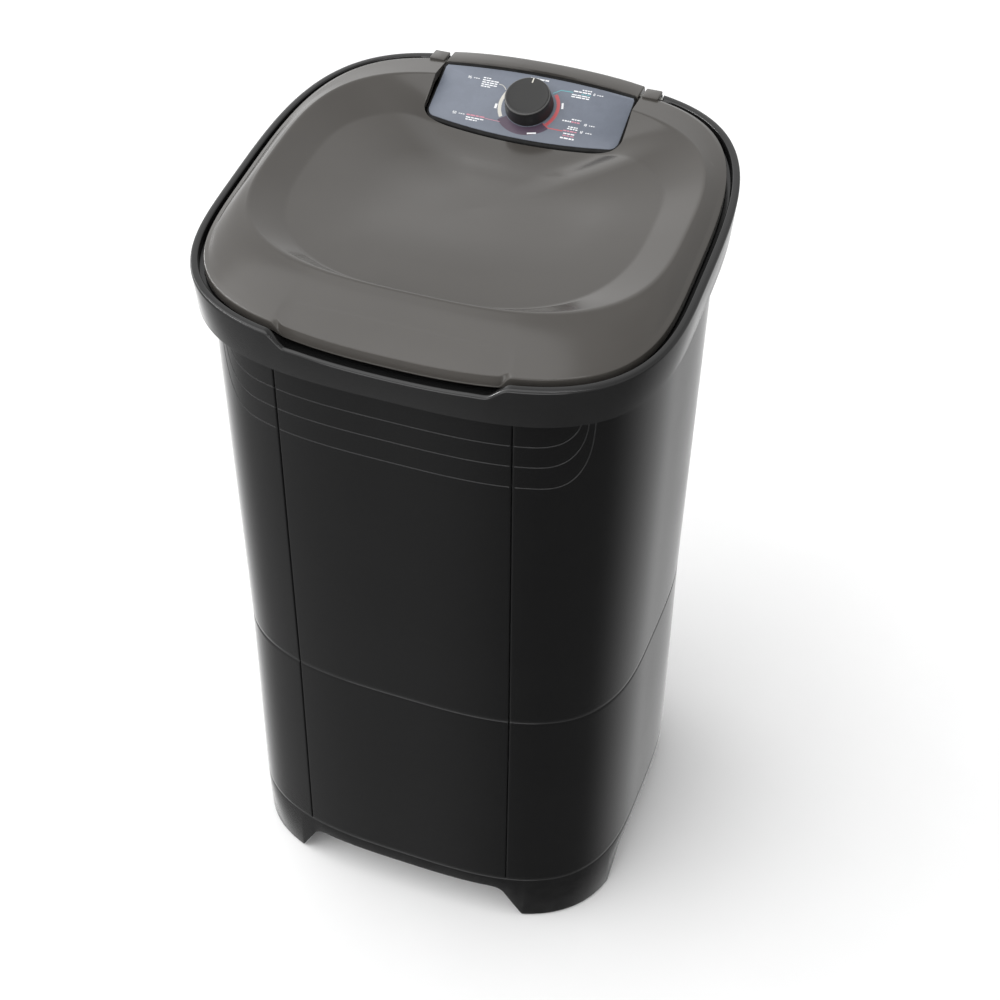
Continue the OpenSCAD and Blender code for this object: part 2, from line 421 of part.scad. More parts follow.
// belt loop round both pulleys
function loop(o) = let(L = motor_y - axis_y, r1 = pulley_d / 2 - 4 + o, r2 = pinion_d / 2 - 4 + o, b = asin((r1 - r2) / L))
  concat([for (k = [0:40]) let(a = lerp(b, -180 - b, k / 40)) [r1 * cos(a), axis_y + r1 * sin(a)]],
    [for (k = [0:16]) let(a = lerp(180 - b, b, k / 16)) [r2 * cos(a), motor_y + r2 * sin(a)]]);
module drive_belt() color([0.08, 0.08, 0.08]) at(0, 0, 266) linear_extrude(8) difference() { polygon(loop(4.6)); polygon(loop(0.35)); }
module motor_pulley() color([0.62, 0.63, 0.64]) at(0, motor_y, 262) let(r = pinion_d / 2)
  rotate_extrude() polygon([[6, 0], [r, 0], [r, 3.5], [r - 4, 3.5], [r - 4, 12.5], [r, 12.5], [r, 16], [6, 16]]);
module motor_rotor() color([0.55, 0.55, 0.57]) at(0, motor_y, 0) {
  translate([0, 0, 258]) cylinder(r = 6, h = 122);
  translate([0, 0, 310]) cylinder(r = 34, h = 58);
}
module motor_stator() color([0.6, 0.35, 0.18]) at(0, motor_y, 308) ring(36, 58, 62);
module motor_housing() color([0.3, 0.31, 0.32]) at(0, motor_y, 298) ring(58.2, 61, 80);
module lugs(h) for (a = [45:90:315]) rotate(a) translate([66, 0, 0]) cylinder(r = 8, h = h);
module motor_lower_cap() color([0.62, 0.63, 0.64]) at(0, motor_y, 292) difference() {
  union() { cylinder(r = 61, h = 6); lugs(6); }
  translate([0, 0, -1]) cylinder(r = 6.05, h = 20);
  for (a = [45:90:315]) rotate(a) translate([67, 0, -1]) cylinder(r = 3, h = 20);
}
module motor_upper_cap() color([0.62, 0.63, 0.64]) at(0, motor_y, 378) difference() {
  union() { cylinder(r = 61, h = 6); lugs(6); }
  translate([0, 0, -1]) cylinder(r = 6.05, h = 4.5);
  for (a = [45:90:315]) rotate(a) translate([67, 0, -1]) cylinder(r = 3, h = 20);
}
module motor_bolts() color(steel) for (a = [45:90:315]) at(0, motor_y, 0) rotate(a) translate([67, 0, 0]) {
  translate([0, 0, 285]) cylinder(r = 3, h = 99);
  translate([0, 0, 285]) cylinder(r = 5.5, h = 4, $fn = 6);
  translate([0, 0, 384]) cylinder(r = 5.5, h = 4, $fn = 6);
}
stand = [[-95, -30], [95, -30], [-95, 226], [95, 226]];
module drive_frame() color(steel) difference() {
  at(-107, -44, 289) cube([214, 290, 3]);
  at(0, axis_y, 280) cylinder(r = 30, h = 20);
  at(0, motor_y, 280) cylinder(r = 20, h = 20);
  for (a = [45:90:315]) at(0, motor_y, 280) rotate(a) translate([67, 0, 0]) cylinder(r = 3, h = 20);
  for (q = stand) at(q[0], q[1], 280) cylinder(r = 3, h = 20);
  for (g = [-1, 1]) at(g * 64 - 17, 10, 280) cube([34, 90, 20]);
}
module frame_standoffs() color(steel) for (q = stand) at(q[0], q[1], 292) ring(3, 8, 110);
module frame_bolts() color(steel) for (q = stand) at(q[0], q[1], 0) {
  translate([0, 0, 285]) cylinder(r = 6, h = 4, $fn = 6);
  translate([0, 0, 285]) cylinder(r = 3, h = 123);
  translate([0, 0, 405.1]) cylinder(r = 6, h = 3);
}
cap_x = -88; cap_y = 128;
module capacitor() color([0.75, 0.76, 0.78]) at(cap_x, cap_y, 292) { cylinder(r = 16, h = 66); translate([0, 0, 66]) cylinder(r = 6, h = 8); }
module capacitor_clip() color(steel) at(cap_x, cap_y, 292) difference() {
  union() { cylinder(r = 17.8, h = 22); translate([-2, 16.5, 0]) cube([4, 16, 22]); translate([-8, 17, 0]) cube([16, 20, 1.5]); }
  translate([0, 0, -1]) cylinder(r = 16.1, h = 40);
}

// ---- drain and gland -----------------------------------------------------
module pipe_run(r) {
  at(drain[0], drain[1], out_z + 30) cylinder(r = r, h = 402 - out_z - 30);
  at(drain[0], drain[1] + 30, out_z + 30) rotate([90, 0, 90]) rotate([0, 0, 180]) rotate_extrude(angle = 90) translate([30, 0]) circle(r = r);
  at(drain[0], drain[1] + 30, out_z) along_y() cylinder(r = r, h = 34);
}
module drain_pipe() color([0.12, 0.12, 0.12]) difference() { pipe_run(15); pipe_run(12.2); at(drain[0], drain[1], 395) cylinder(r = 12.2, h = 20);
  at(drain[0], drain[1] + 60, out_z) along_y() cylinder(r = 12.2, h = 20); }
module drain_outlet() color([0.3, 0.3, 0.3]) at(out_x, 0, out_z) difference() {
  translate([0, 240, 0]) rotate([-90, 0, 0]) rotate_extrude() polygon([[8.5, 0], [12.1, 0], [12.1, 54], [11, 54], [11, 76.5], [10.4, 78], [8.5, 78]]);
}
module pipe_clamp() color(steel) at(drain[0], drain[1], 340) difference() {
  union() { cylinder(r = 16.6, h = 10); translate([-4, 14, 0]) cube([8, 12, 10]); }
  translate([0, 0, -1]) cylinder(r = 15.05, h = 20);
  translate([-0.8, 10, -1]) cube([1.6, 20, 20]);
}
module cord_gland() color([0.1, 0.1, 0.1]) at(gl_x, 0, gl_z) difference() {
  translate([0, 276, 0]) rotate([-90, 0, 0]) rotate_extrude() polygon([[4, 0], [7.9, 0], [7.9, 17], [11.5, 17], [11.5, 20.5], [8, 25], [4, 25]]);
}

plinth();
foot_pads();
front_panel();
left_side_panel();
right_side_panel();
rear_panel();
joint_strips();
service_cover();
service_cover_screws();
top_collar();
lid();
hinge_pins();
lid_bumpers();
control_housing();
control_pan();
console_trim();
control_label();
timer_knob();
timer_shaft();
timer_body();
timer_screws();
wash_tub();
tub_gasket();
lint_filter_holder();
lint_filter();
agitator();
agitator_bolt();
agitator_cap();
drive_shaft();
bearing_housing();
upper_bush();
lower_bush();
shaft_seal();
bearing_bolts();
large_pulley();
pulley_nut();
drive_belt();
motor_pulley();
motor_rotor();
motor_stator();
motor_housing();
motor_lower_cap();
motor_upper_cap();
motor_bolts();
drive_frame();
frame_standoffs();
frame_bolts();
capacitor();
capacitor_clip();
drain_pipe();
drain_outlet();
pipe_clamp();
cord_gland();
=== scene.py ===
import json
import math
import bpy
import numpy as np
from mathutils import Matrix, Vector
from mathutils.bvhtree import BVHTree


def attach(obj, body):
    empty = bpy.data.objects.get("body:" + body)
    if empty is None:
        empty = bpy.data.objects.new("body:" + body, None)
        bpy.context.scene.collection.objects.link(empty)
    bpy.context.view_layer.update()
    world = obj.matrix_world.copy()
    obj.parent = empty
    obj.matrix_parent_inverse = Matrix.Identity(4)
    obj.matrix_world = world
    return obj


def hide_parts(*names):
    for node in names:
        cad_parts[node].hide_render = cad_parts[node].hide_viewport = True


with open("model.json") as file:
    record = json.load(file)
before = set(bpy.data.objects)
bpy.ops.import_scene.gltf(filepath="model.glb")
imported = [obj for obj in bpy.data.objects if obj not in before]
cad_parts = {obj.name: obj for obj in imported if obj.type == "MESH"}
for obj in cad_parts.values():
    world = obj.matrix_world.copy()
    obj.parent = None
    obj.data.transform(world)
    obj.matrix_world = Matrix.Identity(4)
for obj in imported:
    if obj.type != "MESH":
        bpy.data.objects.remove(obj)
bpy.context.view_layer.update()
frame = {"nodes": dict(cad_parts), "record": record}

NODES = frame["nodes"]
SLOT = {s["node"]: s["material_slot"] for s in frame["record"]["subparts"]}

# ---------------------------------------------------------------- outlines, in millimetres
YC = -50.0
NF, NB = 3.15, 3.55
RW, RF, RB = 295.0, 220.0, 320.0
SEAM, PLINTH, JX, PT = 387.0, 78.0, 143.0, 3.2
DIP, INSET, LT = 14.0, 16.0, 2.6
HY, HZ = 304.0, 1000.0
TILT = math.radians(25)
CT, ST = math.cos(TILT), math.sin(TILT)
LABY, LABZ, KV = 211.0, 975.0, 37.7


def smooth(a, b, v):
    t = np.clip((v - a) / (b - a), 0, 1)
    return t * t * (3 - 2 * t)


def sp(p, a, bf, bb, n1=NF, n2=NB, d=0.0, y0=0.0):
    p = np.asarray(p, float)
    c, s = np.cos(p), np.sin(p)
    b, n = np.where(c > 0, bf, bb), np.where(c > 0, n1, n2)
    r = (np.abs(s / a) ** n + np.abs(c / b) ** n) ** (-1 / n)
    x, y = r * s, -r * c
    gx = np.sign(x) * np.abs(x / a) ** (n - 1) / a
    gy = np.sign(y) * np.abs(y / b) ** (n - 1) / b
    g = np.hypot(gx, gy)
    return np.stack([x - d * gx / g, y + y0 - d * gy / g], -1)


def rim(p, d=0.0):
    return sp(p, RW, RF, RB, NF, NB, d)


def rim_z(y):
    return 956.0 + 0.156 * y


def cab(z):
    u, w, q = max(0, (z - SEAM) / 507), min(1, max(0, (PLINTH - z) / 78)), min(1, max(0, (z - PLINTH) / (SEAM - PLINTH)))
    return (RW * (0.898 + 0.031 * u - 0.005 * w), RF * (0.938 + 0.032 * u - 0.005 * w), RB * (0.918 + 0.027 * u - 0.005 * w), 3 * q + 3 * u)


def cabp(p, z, d=0.0):
    c = cab(z)
    return sp(p, c[0], c[1], c[2], NF, NB, d, c[3])


def cab_y(x, z, s):
    c = cab(z)
    b, n = (c[1], NF) if s < 0 else (c[2], NB)
    return c[3] + s * b * (1 - (np.abs(x) / c[0]) ** n) ** (1 / n)


def dip(x, y):
    return np.where(y < 0, DIP * (1 + 0.2 * np.maximum(0, 1 - (x / 100) ** 2)) * (1 - smooth(116, 143, np.abs(x))), 0)


def notch(x, y):
    return np.where(y < 0, 1 - smooth(126, 141, np.abs(x)), 0)


def even(f, n):
    """n angles, evenly spaced along the outline f."""
    p = np.linspace(0, 2 * math.pi, 20001)
    q = f(p)
    s = np.concatenate([[0], np.cumsum(np.hypot(*np.diff(q, axis=0).T))])
    return np.interp(np.linspace(0, s[-1], n + 1)[:-1], s, p)


PH = even(rim, 720)


def ring(q, z):
    return np.column_stack([q[:, 0], q[:, 1] + YC, np.broadcast_to(z, (len(q),))])


# ---------------------------------------------------------------- meshes
def build(name, v, faces, mat, body="cabinet", angle=30.0, flat=False):
    me = bpy.data.meshes.new(name)
    me.from_pydata((np.asarray(v, float) * 0.001).tolist(), [], faces)
    me.update()
    if not flat:
        me.shade_smooth()
        me.set_sharp_from_angle(angle=math.radians(angle))
    ob = bpy.data.objects.new(name, me)
    bpy.context.scene.collection.objects.link(ob)
    if mat is not None:
        me.materials.append(mat)
    if body:
        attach(ob, body)
    return ob


def soften(C, R, n=4, closed=False):
    """Rounds the control rings C (M, K, 3) by R millimetres each, with n points a corner."""
    C = [np.asarray(c, float) for c in C]
    M, out = len(C), []
    for j in range(M):
        r = R[j]
        if r <= 0 or (not closed and j in (0, M - 1)):
            out.append(C[j])
            continue
        A, P, B = C[j - 1], C[j], C[(j + 1) % M]
        da, db = A - P, B - P
        la, lb = np.linalg.norm(da, axis=1, keepdims=True) + 1e-9, np.linalg.norm(db, axis=1, keepdims=True) + 1e-9
        a, b = P + da / la * np.minimum(r, 0.48 * la), P + db / lb * np.minimum(r, 0.48 * lb)
        for s in np.linspace(0, 1, n):
            out.append((1 - s) ** 2 * a + 2 * s * (1 - s) * P + s * s * b)
    return out


def split(rings, spans):
    """Puts extra rings between ring j and j+1 for each (j, count)."""
    out = []
    for j, r in enumerate(rings):
        out.append(r)
        k = spans.get(j, 0)
        for t in range(1, k + 1):
            out.append(r + (rings[j + 1] - r) * t / (k + 1))
    return out


def faces_grid(M, K, wrap_u=True, wrap_v=True, off=0, flip=False):
    f = []
    for j in range(M if wrap_v else M - 1):
        j2 = (j + 1) % M
        for i in range(K if wrap_u else K - 1):
            i2 = (i + 1) % K
            q = [off + j * K + i, off + j * K + i2, off + j2 * K + i2, off + j2 * K + i]
            f.append(q[::-1] if flip else q)
    return f


def ringloft(name, rings, mat, body="cabinet", angle=30.0):
    """Closed both ways; the rings run up the outside, over and down the inside."""
    M, K = len(rings), len(rings[0])
    return build(name, np.concatenate(rings), faces_grid(M, K), mat, body, angle)


def shellloft(name, top, rings, bottom, mat, body="cabinet", angle=30.0):
    """From a top centre out, over the edge and back to a bottom centre."""
    M, K = len(rings), len(rings[0])
    v = np.concatenate(list(rings) + [np.array([top, bottom])])
    t = M * K
    f = faces_grid(M, K, True, False, 0, True)
    f += [[t, i, (i + 1) % K] for i in range(K)]
    f += [[t + 1, (M - 1) * K + (i + 1) % K, (M - 1) * K + i] for i in range(K)]
    return build(name, v, f, mat, body, angle)


def striploft(name, cols, mat, body="cabinet", angle=30.0):
    """Closed profiles along columns, ends capped."""
    M, K = len(cols), len(cols[0])
    f = []
    for k in range(M - 1):
        for i in range(K):
            f.append([k * K + i, (k + 1) * K + i, (k + 1) * K + (i + 1) % K, k * K + (i + 1) % K])
    f.append(list(range(K)))
    f.append([(M - 1) * K + i for i in range(K)][::-1])
    return build(name, np.concatenate(cols), f, mat, body, angle)


def box_mesh(lo, hi, r=0.0):
    import bmesh
    bm = bmesh.new()
    bmesh.ops.create_cube(bm, size=1.0)
    c, s = [(a + b) / 2 for a, b in zip(lo, hi)], [b - a for a, b in zip(lo, hi)]
    for v in bm.verts:
        v.co = Vector([c[k] + v.co[k] * s[k] for k in range(3)])
    if r > 0:
        bmesh.ops.bevel(bm, geom=list(bm.edges), offset=r, segments=3, affect="EDGES", profile=0.5)
    bm.verts.index_update()
    v = np.array([list(p.co) for p in bm.verts])
    f = [[p.index for p in q.verts] for q in bm.faces]
    bm.free()
    return v, f


def block(name, lo, hi, mat, body="cabinet", r=0.8):
    v, f = box_mesh(lo, hi, r)
    return build(name, v, f, mat, body, 40)


def prism(pts, z0, z1):
    n = len(pts)
    a = np.column_stack([pts, np.full(n, z0)])
    b = np.column_stack([pts, np.full(n, z1)])
    f = [[i, (i + 1) % n, n + (i + 1) % n, n + i] for i in range(n)]
    f += [list(range(n))[::-1], list(range(n, 2 * n))]
    return np.concatenate([a, b]), f


def cut(ob, cutters, angle=30.0):
    """Subtracts closed meshes given as (vertices, faces)."""
    for k, (v, f) in enumerate(cutters):
        tool = build("tool", v, f, None, None, flat=True)
        m = ob.modifiers.new("cut", "BOOLEAN")
        m.operation, m.solver, m.object = "DIFFERENCE", "EXACT", tool
        dg = bpy.context.evaluated_depsgraph_get()
        me = bpy.data.meshes.new_from_object(ob.evaluated_get(dg))
        ob.modifiers.clear()
        old, ob.data = ob.data, me
        me.name = ob.name
        bpy.data.meshes.remove(old)
        bpy.data.objects.remove(tool)
    ob.data.shade_smooth()
    ob.data.set_sharp_from_angle(angle=math.radians(angle))
    return ob


def turned(name, prof, mat, body="cabinet", place=None, n=96, angle=30.0):
    """Turns (r, z) points round Z. place is a 4x4 in millimetres."""
    v, f = [], []
    prof = [(max(r, 0.0), z) for r, z in prof]
    M = len(prof)
    a = np.linspace(0, 2 * math.pi, n, endpoint=False)
    for r, z in prof:
        v.append(np.column_stack([r * np.cos(a), r * np.sin(a), np.full(n, z)]))
    v = np.concatenate(v)
    for j in range(M - 1):
        for i in range(n):
            q = [j * n + i, j * n + (i + 1) % n, (j + 1) * n + (i + 1) % n, (j + 1) * n + i]
            f.append(q)
    if prof[0][0] > 1e-6 and prof[-1][0] > 1e-6:
        f += [[(M - 1) * n + i, (M - 1) * n + (i + 1) % n, (i + 1) % n, i] for i in range(n)]
    if place is not None:
        v = v @ np.array(place)[:3, :3].T + np.array(place)[:3, 3]
    ob = build(name, v, f, mat, None, angle)
    import bmesh
    bm = bmesh.new()
    bm.from_mesh(ob.data)
    bmesh.ops.remove_doubles(bm, verts=bm.verts, dist=1e-7)
    bmesh.ops.recalc_face_normals(bm, faces=bm.faces)
    bm.to_mesh(ob.data)
    bm.free()
    ob.data.shade_smooth()
    ob.data.set_sharp_from_angle(angle=math.radians(angle))
    if body:
        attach(ob, body)
    return ob


# ---------------------------------------------------------------- materials
class X:
    """A value in a node tree, with arithmetic."""
    def __init__(self, t, s):
        self.t, self.s = t, s

    def m(self, op, *a):
        n = self.t.nodes.new("ShaderNodeMath")
        n.operation = op
        for i, v in enumerate((self,) + a):
            if isinstance(v, X):
                self.t.links.new(v.s, n.inputs[i])
            else:
                n.inputs[i].default_value = float(v)
        return X(self.t, n.outputs[0])

    def __add__(self, o): return self.m("ADD", o)
    __radd__ = __add__
    def __mul__(self, o): return self.m("MULTIPLY", o)
    __rmul__ = __mul__
    def __sub__(self, o): return self.m("SUBTRACT", o)
    def __rsub__(self, o): return (self * -1.0) + o
    def __truediv__(self, o): return self.m("DIVIDE", o)
    def __pow__(self, o): return self.m("POWER", o)
    def abs(self): return self.m("ABSOLUTE")
    def min(self, o): return self.m("MINIMUM", o)
    def max(self, o): return self.m("MAXIMUM", o)

    def ramp(self, a, b, c=0.0, d=1.0):
        n = self.t.nodes.new("ShaderNodeMapRange")
        n.interpolation_type = "SMOOTHSTEP"
        self.t.links.new(self.s, n.inputs[0])
        for k, v in zip((1, 2, 3, 4), (a, b, c, d)):
            n.inputs[k].default_value = v
        return X(self.t, n.outputs[0])


def coords(t):
    c = t.nodes.new("ShaderNodeTexCoord")
    s = t.nodes.new("ShaderNodeSeparateXYZ")
    t.links.new(c.outputs["Object"], s.inputs[0])
    return c.outputs["Object"], [X(t, o) for o in s.outputs]


def noise(t, vec, scale, detail=3.0, rough=0.55, stretch=None):
    if stretch:
        m = t.nodes.new("ShaderNodeMapping")
        m.inputs["Scale"].default_value = stretch
        t.links.new(vec, m.inputs[0])
        vec = m.outputs[0]
    n = t.nodes.new("ShaderNodeTexNoise")
    n.inputs["Scale"].default_value = scale
    n.inputs["Detail"].default_value = detail
    n.inputs["Roughness"].default_value = rough
    t.links.new(vec, n.inputs["Vector"])
    return X(t, n.outputs[0])


def mixrgb(t, fac, a, b):
    n = t.nodes.new("ShaderNodeMix")
    n.data_type = "RGBA"
    t.links.new(fac.s, n.inputs[0])
    for k, v in ((6, a), (7, b)):
        if isinstance(v, (tuple, list)):
            n.inputs[k].default_value = tuple(v[:3]) + (1.0,)
        else:
            t.links.new(v, n.inputs[k])
    return n.outputs[2]


def material(name, base, rough=0.3, metal=0.0, spec=0.5, coat=0.0, coat_rough=0.05, grain=(400.0, 0.00004), wear=0.25, vary=0.12,
             var_scale=9.0, edge=None, extra=None, ior=1.5, stretch=None):
    """A finish with fine relief, uneven gloss, faint mottling and worn edges. extra(t, vec, xyz) may return (line mask, line colour, relief)."""
    mat = bpy.data.materials.new(name)
    mat.use_nodes = True
    t = mat.node_tree
    b = t.nodes["Principled BSDF"]
    vec, xyz = coords(t)
    big = noise(t, vec, var_scale, 3.0)
    fine = noise(t, vec, grain[0], 2.0, 0.6, stretch)
    dust = noise(t, vec, 60.0, 5.0, 0.7)
    dark = tuple(c * (1 - vary) for c in base)
    light = tuple(min(1.0, c * (1 + vary)) for c in base)
    col = mixrgb(t, big.ramp(0.3, 0.7), dark, light)
    geo = t.nodes.new("ShaderNodeNewGeometry")
    point = X(t, geo.outputs["Pointiness"]).ramp(0.51, 0.56)
    worn = point * dust.ramp(0.35, 0.65) * wear
    edge = edge or tuple(min(1.0, c * 1.8 + 0.02) for c in base)
    col = mixrgb(t, worn, col, edge)
    r = big.ramp(0.25, 0.75, rough * 0.88, rough * 1.14) + dust.ramp(0.5, 0.8, 0.0, rough * 0.18) + worn * 0.15
    relief = fine * 1.0
    if extra:
        mask, lcol, depth = extra(t, vec, xyz)
        col = mixrgb(t, mask, col, lcol)
        r = r + mask * 0.12
        b1 = t.nodes.new("ShaderNodeBump")
        b1.inputs["Strength"].default_value = 0.6
        b1.inputs["Distance"].default_value = depth
        t.links.new((mask * -1.0).s, b1.inputs["Height"])
    bump = t.nodes.new("ShaderNodeBump")
    bump.inputs["Strength"].default_value = 1.0
    bump.inputs["Distance"].default_value = grain[1]
    t.links.new(relief.s, bump.inputs["Height"])
    if extra:
        t.links.new(b1.outputs[0], bump.inputs["Normal"])
    t.links.new(bump.outputs[0], b.inputs["Normal"])
    t.links.new(col, b.inputs["Base Color"])
    t.links.new(r.s, b.inputs["Roughness"])
    b.inputs["Metallic"].default_value = metal
    b.inputs["IOR"].default_value = ior
    b.inputs["Specular IOR Level"].default_value = spec
    b.inputs["Coat Weight"].default_value = coat
    b.inputs["Coat Roughness"].default_value = coat_rough
    return mat


MATS = {
    "shell": material("shell_black", (0.0042, 0.0042, 0.0043), 0.15, spec=0.42, wear=0.3, vary=0.05, grain=(220.0, 0.00001), edge=(0.05, 0.05, 0.05)),
    # a lighter black for the raised lines: a painted highlight, added to the real gloss of their rounded shape
    "shell_bead_painted_highlight": material("shell_black_bead_painted_highlight", (0.016, 0.016, 0.0165), 0.25, spec=0.42, wear=0.3, vary=0.05, grain=(220.0, 0.00001), edge=(0.07, 0.07, 0.07)),
    "collar": material("collar_black", (0.0105, 0.0105, 0.0106), 0.14, spec=0.42, wear=0.05, vary=0.05, grain=(220.0, 0.00001), edge=(0.10, 0.10, 0.10)),
    "lid": material("lid_taupe", (0.0635, 0.059, 0.0538), 0.19, spec=0.38, wear=0.06, grain=(400.0, 0.000006), vary=0.03, edge=(0.2, 0.19, 0.175)),
    "console_black": material("console_black", (0.003, 0.003, 0.003), 0.3, spec=0.12, wear=0.3, edge=(0.03, 0.03, 0.03)),
    "label": material("label_blue_grey", (0.158, 0.176, 0.214), 0.42, spec=0.28, vary=0.04, var_scale=14.0, wear=0.1, grain=(2500.0, 0.00001)),
    # a lighter grey for the knob's top chamfer ring: a painted highlight line
    "knob_painted_highlight": material("knob_charcoal_painted_highlight", (0.10, 0.10, 0.098), 0.36, spec=0.4, vary=0.05, wear=0.2, grain=(1500.0, 0.00001), edge=(0.2, 0.2, 0.2)),
    "knob": material("knob_charcoal", (0.0185, 0.0185, 0.018), 0.42, spec=0.35, vary=0.06, wear=0.25, grain=(1500.0, 0.00002), edge=(0.2, 0.2, 0.2)),
    "inner_black": material("inner_black", (0.02, 0.02, 0.021), 0.45, wear=0.15, grain=(900.0, 0.00008)),
    "white_plastic": material("white_plastic", (0.68, 0.69, 0.68), 0.35, grain=(700.0, 0.00004), vary=0.03),
    "blue_plastic": material("blue_plastic", (0.06, 0.16, 0.32), 0.35, grain=(700.0, 0.00004)),
    "tub": material("tub_grey", (0.55, 0.56, 0.55), 0.3, grain=(300.0, 0.00005), vary=0.02, wear=0.02),
    "rubber": material("rubber_black", (0.012, 0.012, 0.012), 0.7, spec=0.3, grain=(1200.0, 0.0001)),
    "zinc": material("zinc_plate", (0.55, 0.55, 0.52), 0.3, 1.0, grain=(900.0, 0.00004), vary=0.1, stretch=(1, 1, 12)),
    "galvanised": material("galvanised_sheet", (0.5, 0.51, 0.52), 0.38, 1.0, grain=(300.0, 0.00004), vary=0.2, var_scale=40.0),
    "aluminium": material("cast_aluminium", (0.55, 0.56, 0.57), 0.42, 1.0, grain=(700.0, 0.00012), vary=0.08),
    "brass": material("sintered_bronze", (0.45, 0.28, 0.11), 0.4, 1.0, grain=(900.0, 0.00008)),
    "copper": material("copper_winding", (0.45, 0.17, 0.07), 0.35, 1.0, grain=(1500.0, 0.0002), stretch=(1, 1, 8)),
    "motor_paint": material("motor_paint", (0.05, 0.052, 0.055), 0.4, grain=(600.0, 0.0001)),
}
INK = {
    "white": material("ink_white", (0.82, 0.83, 0.85), 0.4, vary=0.02, wear=0.0),
    "cream": material("ink_cream", (0.62, 0.60, 0.54), 0.4, vary=0.03, wear=0.0),
    "red": material("ink_red", (0.52, 0.09, 0.10), 0.4, vary=0.04, wear=0.0),
    "pink": material("ink_pink", (0.55, 0.22, 0.28), 0.4, vary=0.04, wear=0.0),
    "teal": material("ink_teal", (0.12, 0.42, 0.46), 0.4, vary=0.04, wear=0.0),
    "plum": material("ink_plum", (0.075, 0.048, 0.078), 0.4, vary=0.05, wear=0.0),
}

# ---------------------------------------------------------------- plinth
def arch_z(d, h):
    return np.interp(np.abs(d), [0, h - 46, h - 41, h - 37, h - 33, h - 29, h - 26, h], [57.5, 57.5, 57.1, 56.2, 54.6, 51.8, 48.2, 0.0])


def plinth_low(q):
    x, y = q[:, 0], q[:, 1]
    zf = np.where((y < -100) | (y > 170), arch_z(x, 166), 0)
    zs = np.where(np.abs(x) > 150, arch_z(y - 47, 142), 0)
    return np.maximum(2.0, np.maximum(zf, zs))


base0 = cabp(PH, 40.0)
low = plinth_low(base0)
P_IN = [(0.0, None), (0.0, PLINTH - 1.4), (1.4, PLINTH), (3.5, PLINTH), (3.5, PLINTH + 20), (6.5, PLINTH + 20), (6.5, PLINTH - 10), (4.0, PLINTH - 14), (4.0, None)]
rings = []
for d, z in P_IN:
    if z is None:
        q = cabp(PH, 20.0, d)
        c0, c1 = cabp(PH, 0.0, d), cabp(PH, 78.0, d)
        w = (low / 78.0)[:, None]
        rings.append(ring(c0 + (c1 - c0) * w, low))
    else:
        rings.append(ring(cabp(PH, min(z, PLINTH), d), z))
plinth = ringloft("plinth_look", soften(rings, [0.5, 0.6, 0.6, 0, 0, 0, 0, 0, 0.5], 3, True), MATS["shell"], angle=35)
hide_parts("plinth")
for gx in (-1, 1):
    for gy in (-1, 1):
        q = cabp(PH, 2.0, 3.6)
        keep = (q[:, 0] * gx > 166) & ((q[:, 1] < -96) if gy < 0 else (q[:, 1] > 188))
        idx = np.where(keep)[0]
        pts = q[idx]
        inner = np.array([[gx * 166.5, -96.0 if gy < 0 else 188.0]])
        pts = np.concatenate([pts, inner])
        pts = pts[np.argsort(np.arctan2(pts[:, 1] - pts[:, 1].mean(), pts[:, 0] - pts[:, 0].mean()))]
        v, f = prism(np.column_stack([pts[:, 0], pts[:, 1] + YC]), 2.0, 6.0)
        o = build("foot_floor_%s%s" % ("lr"[gx > 0], "fb"[gy > 0]), v, f, MATS["inner_black"], flat=True)

# ---------------------------------------------------------------- cabinet panels
ROWS = [(1.2, 0, PLINTH), (0.3, 0, PLINTH + 0.4), (0, 0, PLINTH + 1.2), (0, 0, PLINTH + 6), (0, 0, SEAM - 6), (0, 0, SEAM - 1.5), (0.3, 0, SEAM - 0.7), (1.0, 0, SEAM), (0.3, 0, SEAM + 0.7),
        (0, 0, SEAM + 1.5), (0, 0, SEAM + 6), (0, 0, 640), (0, 1, 60), (0, 1, 36), (0, 1, 31), (PT, 1, 31), (PT, 0, SEAM), (PT, 0, PLINTH)]


def rowz(e, y):
    return e[2] if e[1] == 0 else rim_z(y) - e[2]


def edge_round(dist, r=1.7):
    t = np.clip(1 - dist / r, 0, 1)
    return r * (1 - np.sqrt(1 - t * t))


def panel_y(name, s, mat):
    h = JX - 0.6
    x = np.concatenate([h - np.linspace(0, 1.8, 8), np.linspace(h - 1.8, 1.8 - h, 150)[1:-1], -h + np.linspace(1.8, 0, 8)])
    rows = []
    for e in ROWS:
        z0 = rowz(e, -207 if s < 0 else 306)
        extra = edge_round(h - np.abs(x)) if e[0] < PT else 0
        y = cab_y(x, z0, s) - s * (e[0] * 1.03 + extra)
        rows.append(np.column_stack([x, y + YC, rowz(e, y) + 0 * x]))
    cols = np.stack(rows, 1)              # (columns, profile, 3)
    if s < 0:
        cols = cols[::-1]
    return striploft(name, list(cols), mat, angle=28)


def phi(x, z, s):
    return math.atan2(x, cab(z)[3] - float(cab_y(x, z, s)))


def panel_side(name, g, mat):
    t = np.concatenate([np.linspace(0, 0.0028, 8), np.linspace(0.0028, 0.9972, 300)[1:-1], np.linspace(0.9972, 1, 8)])
    rows = []
    for e in ROWS:
        q = np.empty((len(t), 2))
        for k, tk in enumerate(t):
            zk = e[2] if e[1] == 0 else rim_z(-207 + 513 * tk) - e[2]
            a, b = phi(JX + 0.6, zk, -1), phi(JX + 0.6, zk, 1)
            w = a + (b - a) * tk
            u = cabp(w, zk, 0.0)
            q[k] = u + (cabp(w, zk, 1.0) - u) * (e[0] + (edge_round(abs(u[0]) - (JX + 0.6)) if e[0] < PT else 0))
        rows.append(np.column_stack([g * q[:, 0], q[:, 1] + YC, rowz(e, q[:, 1]) + 0 * q[:, 0]]))
    cols = np.stack(rows, 1)
    if g < 0:
        cols = cols[::-1]
    return striploft(name, list(cols), mat, angle=28)


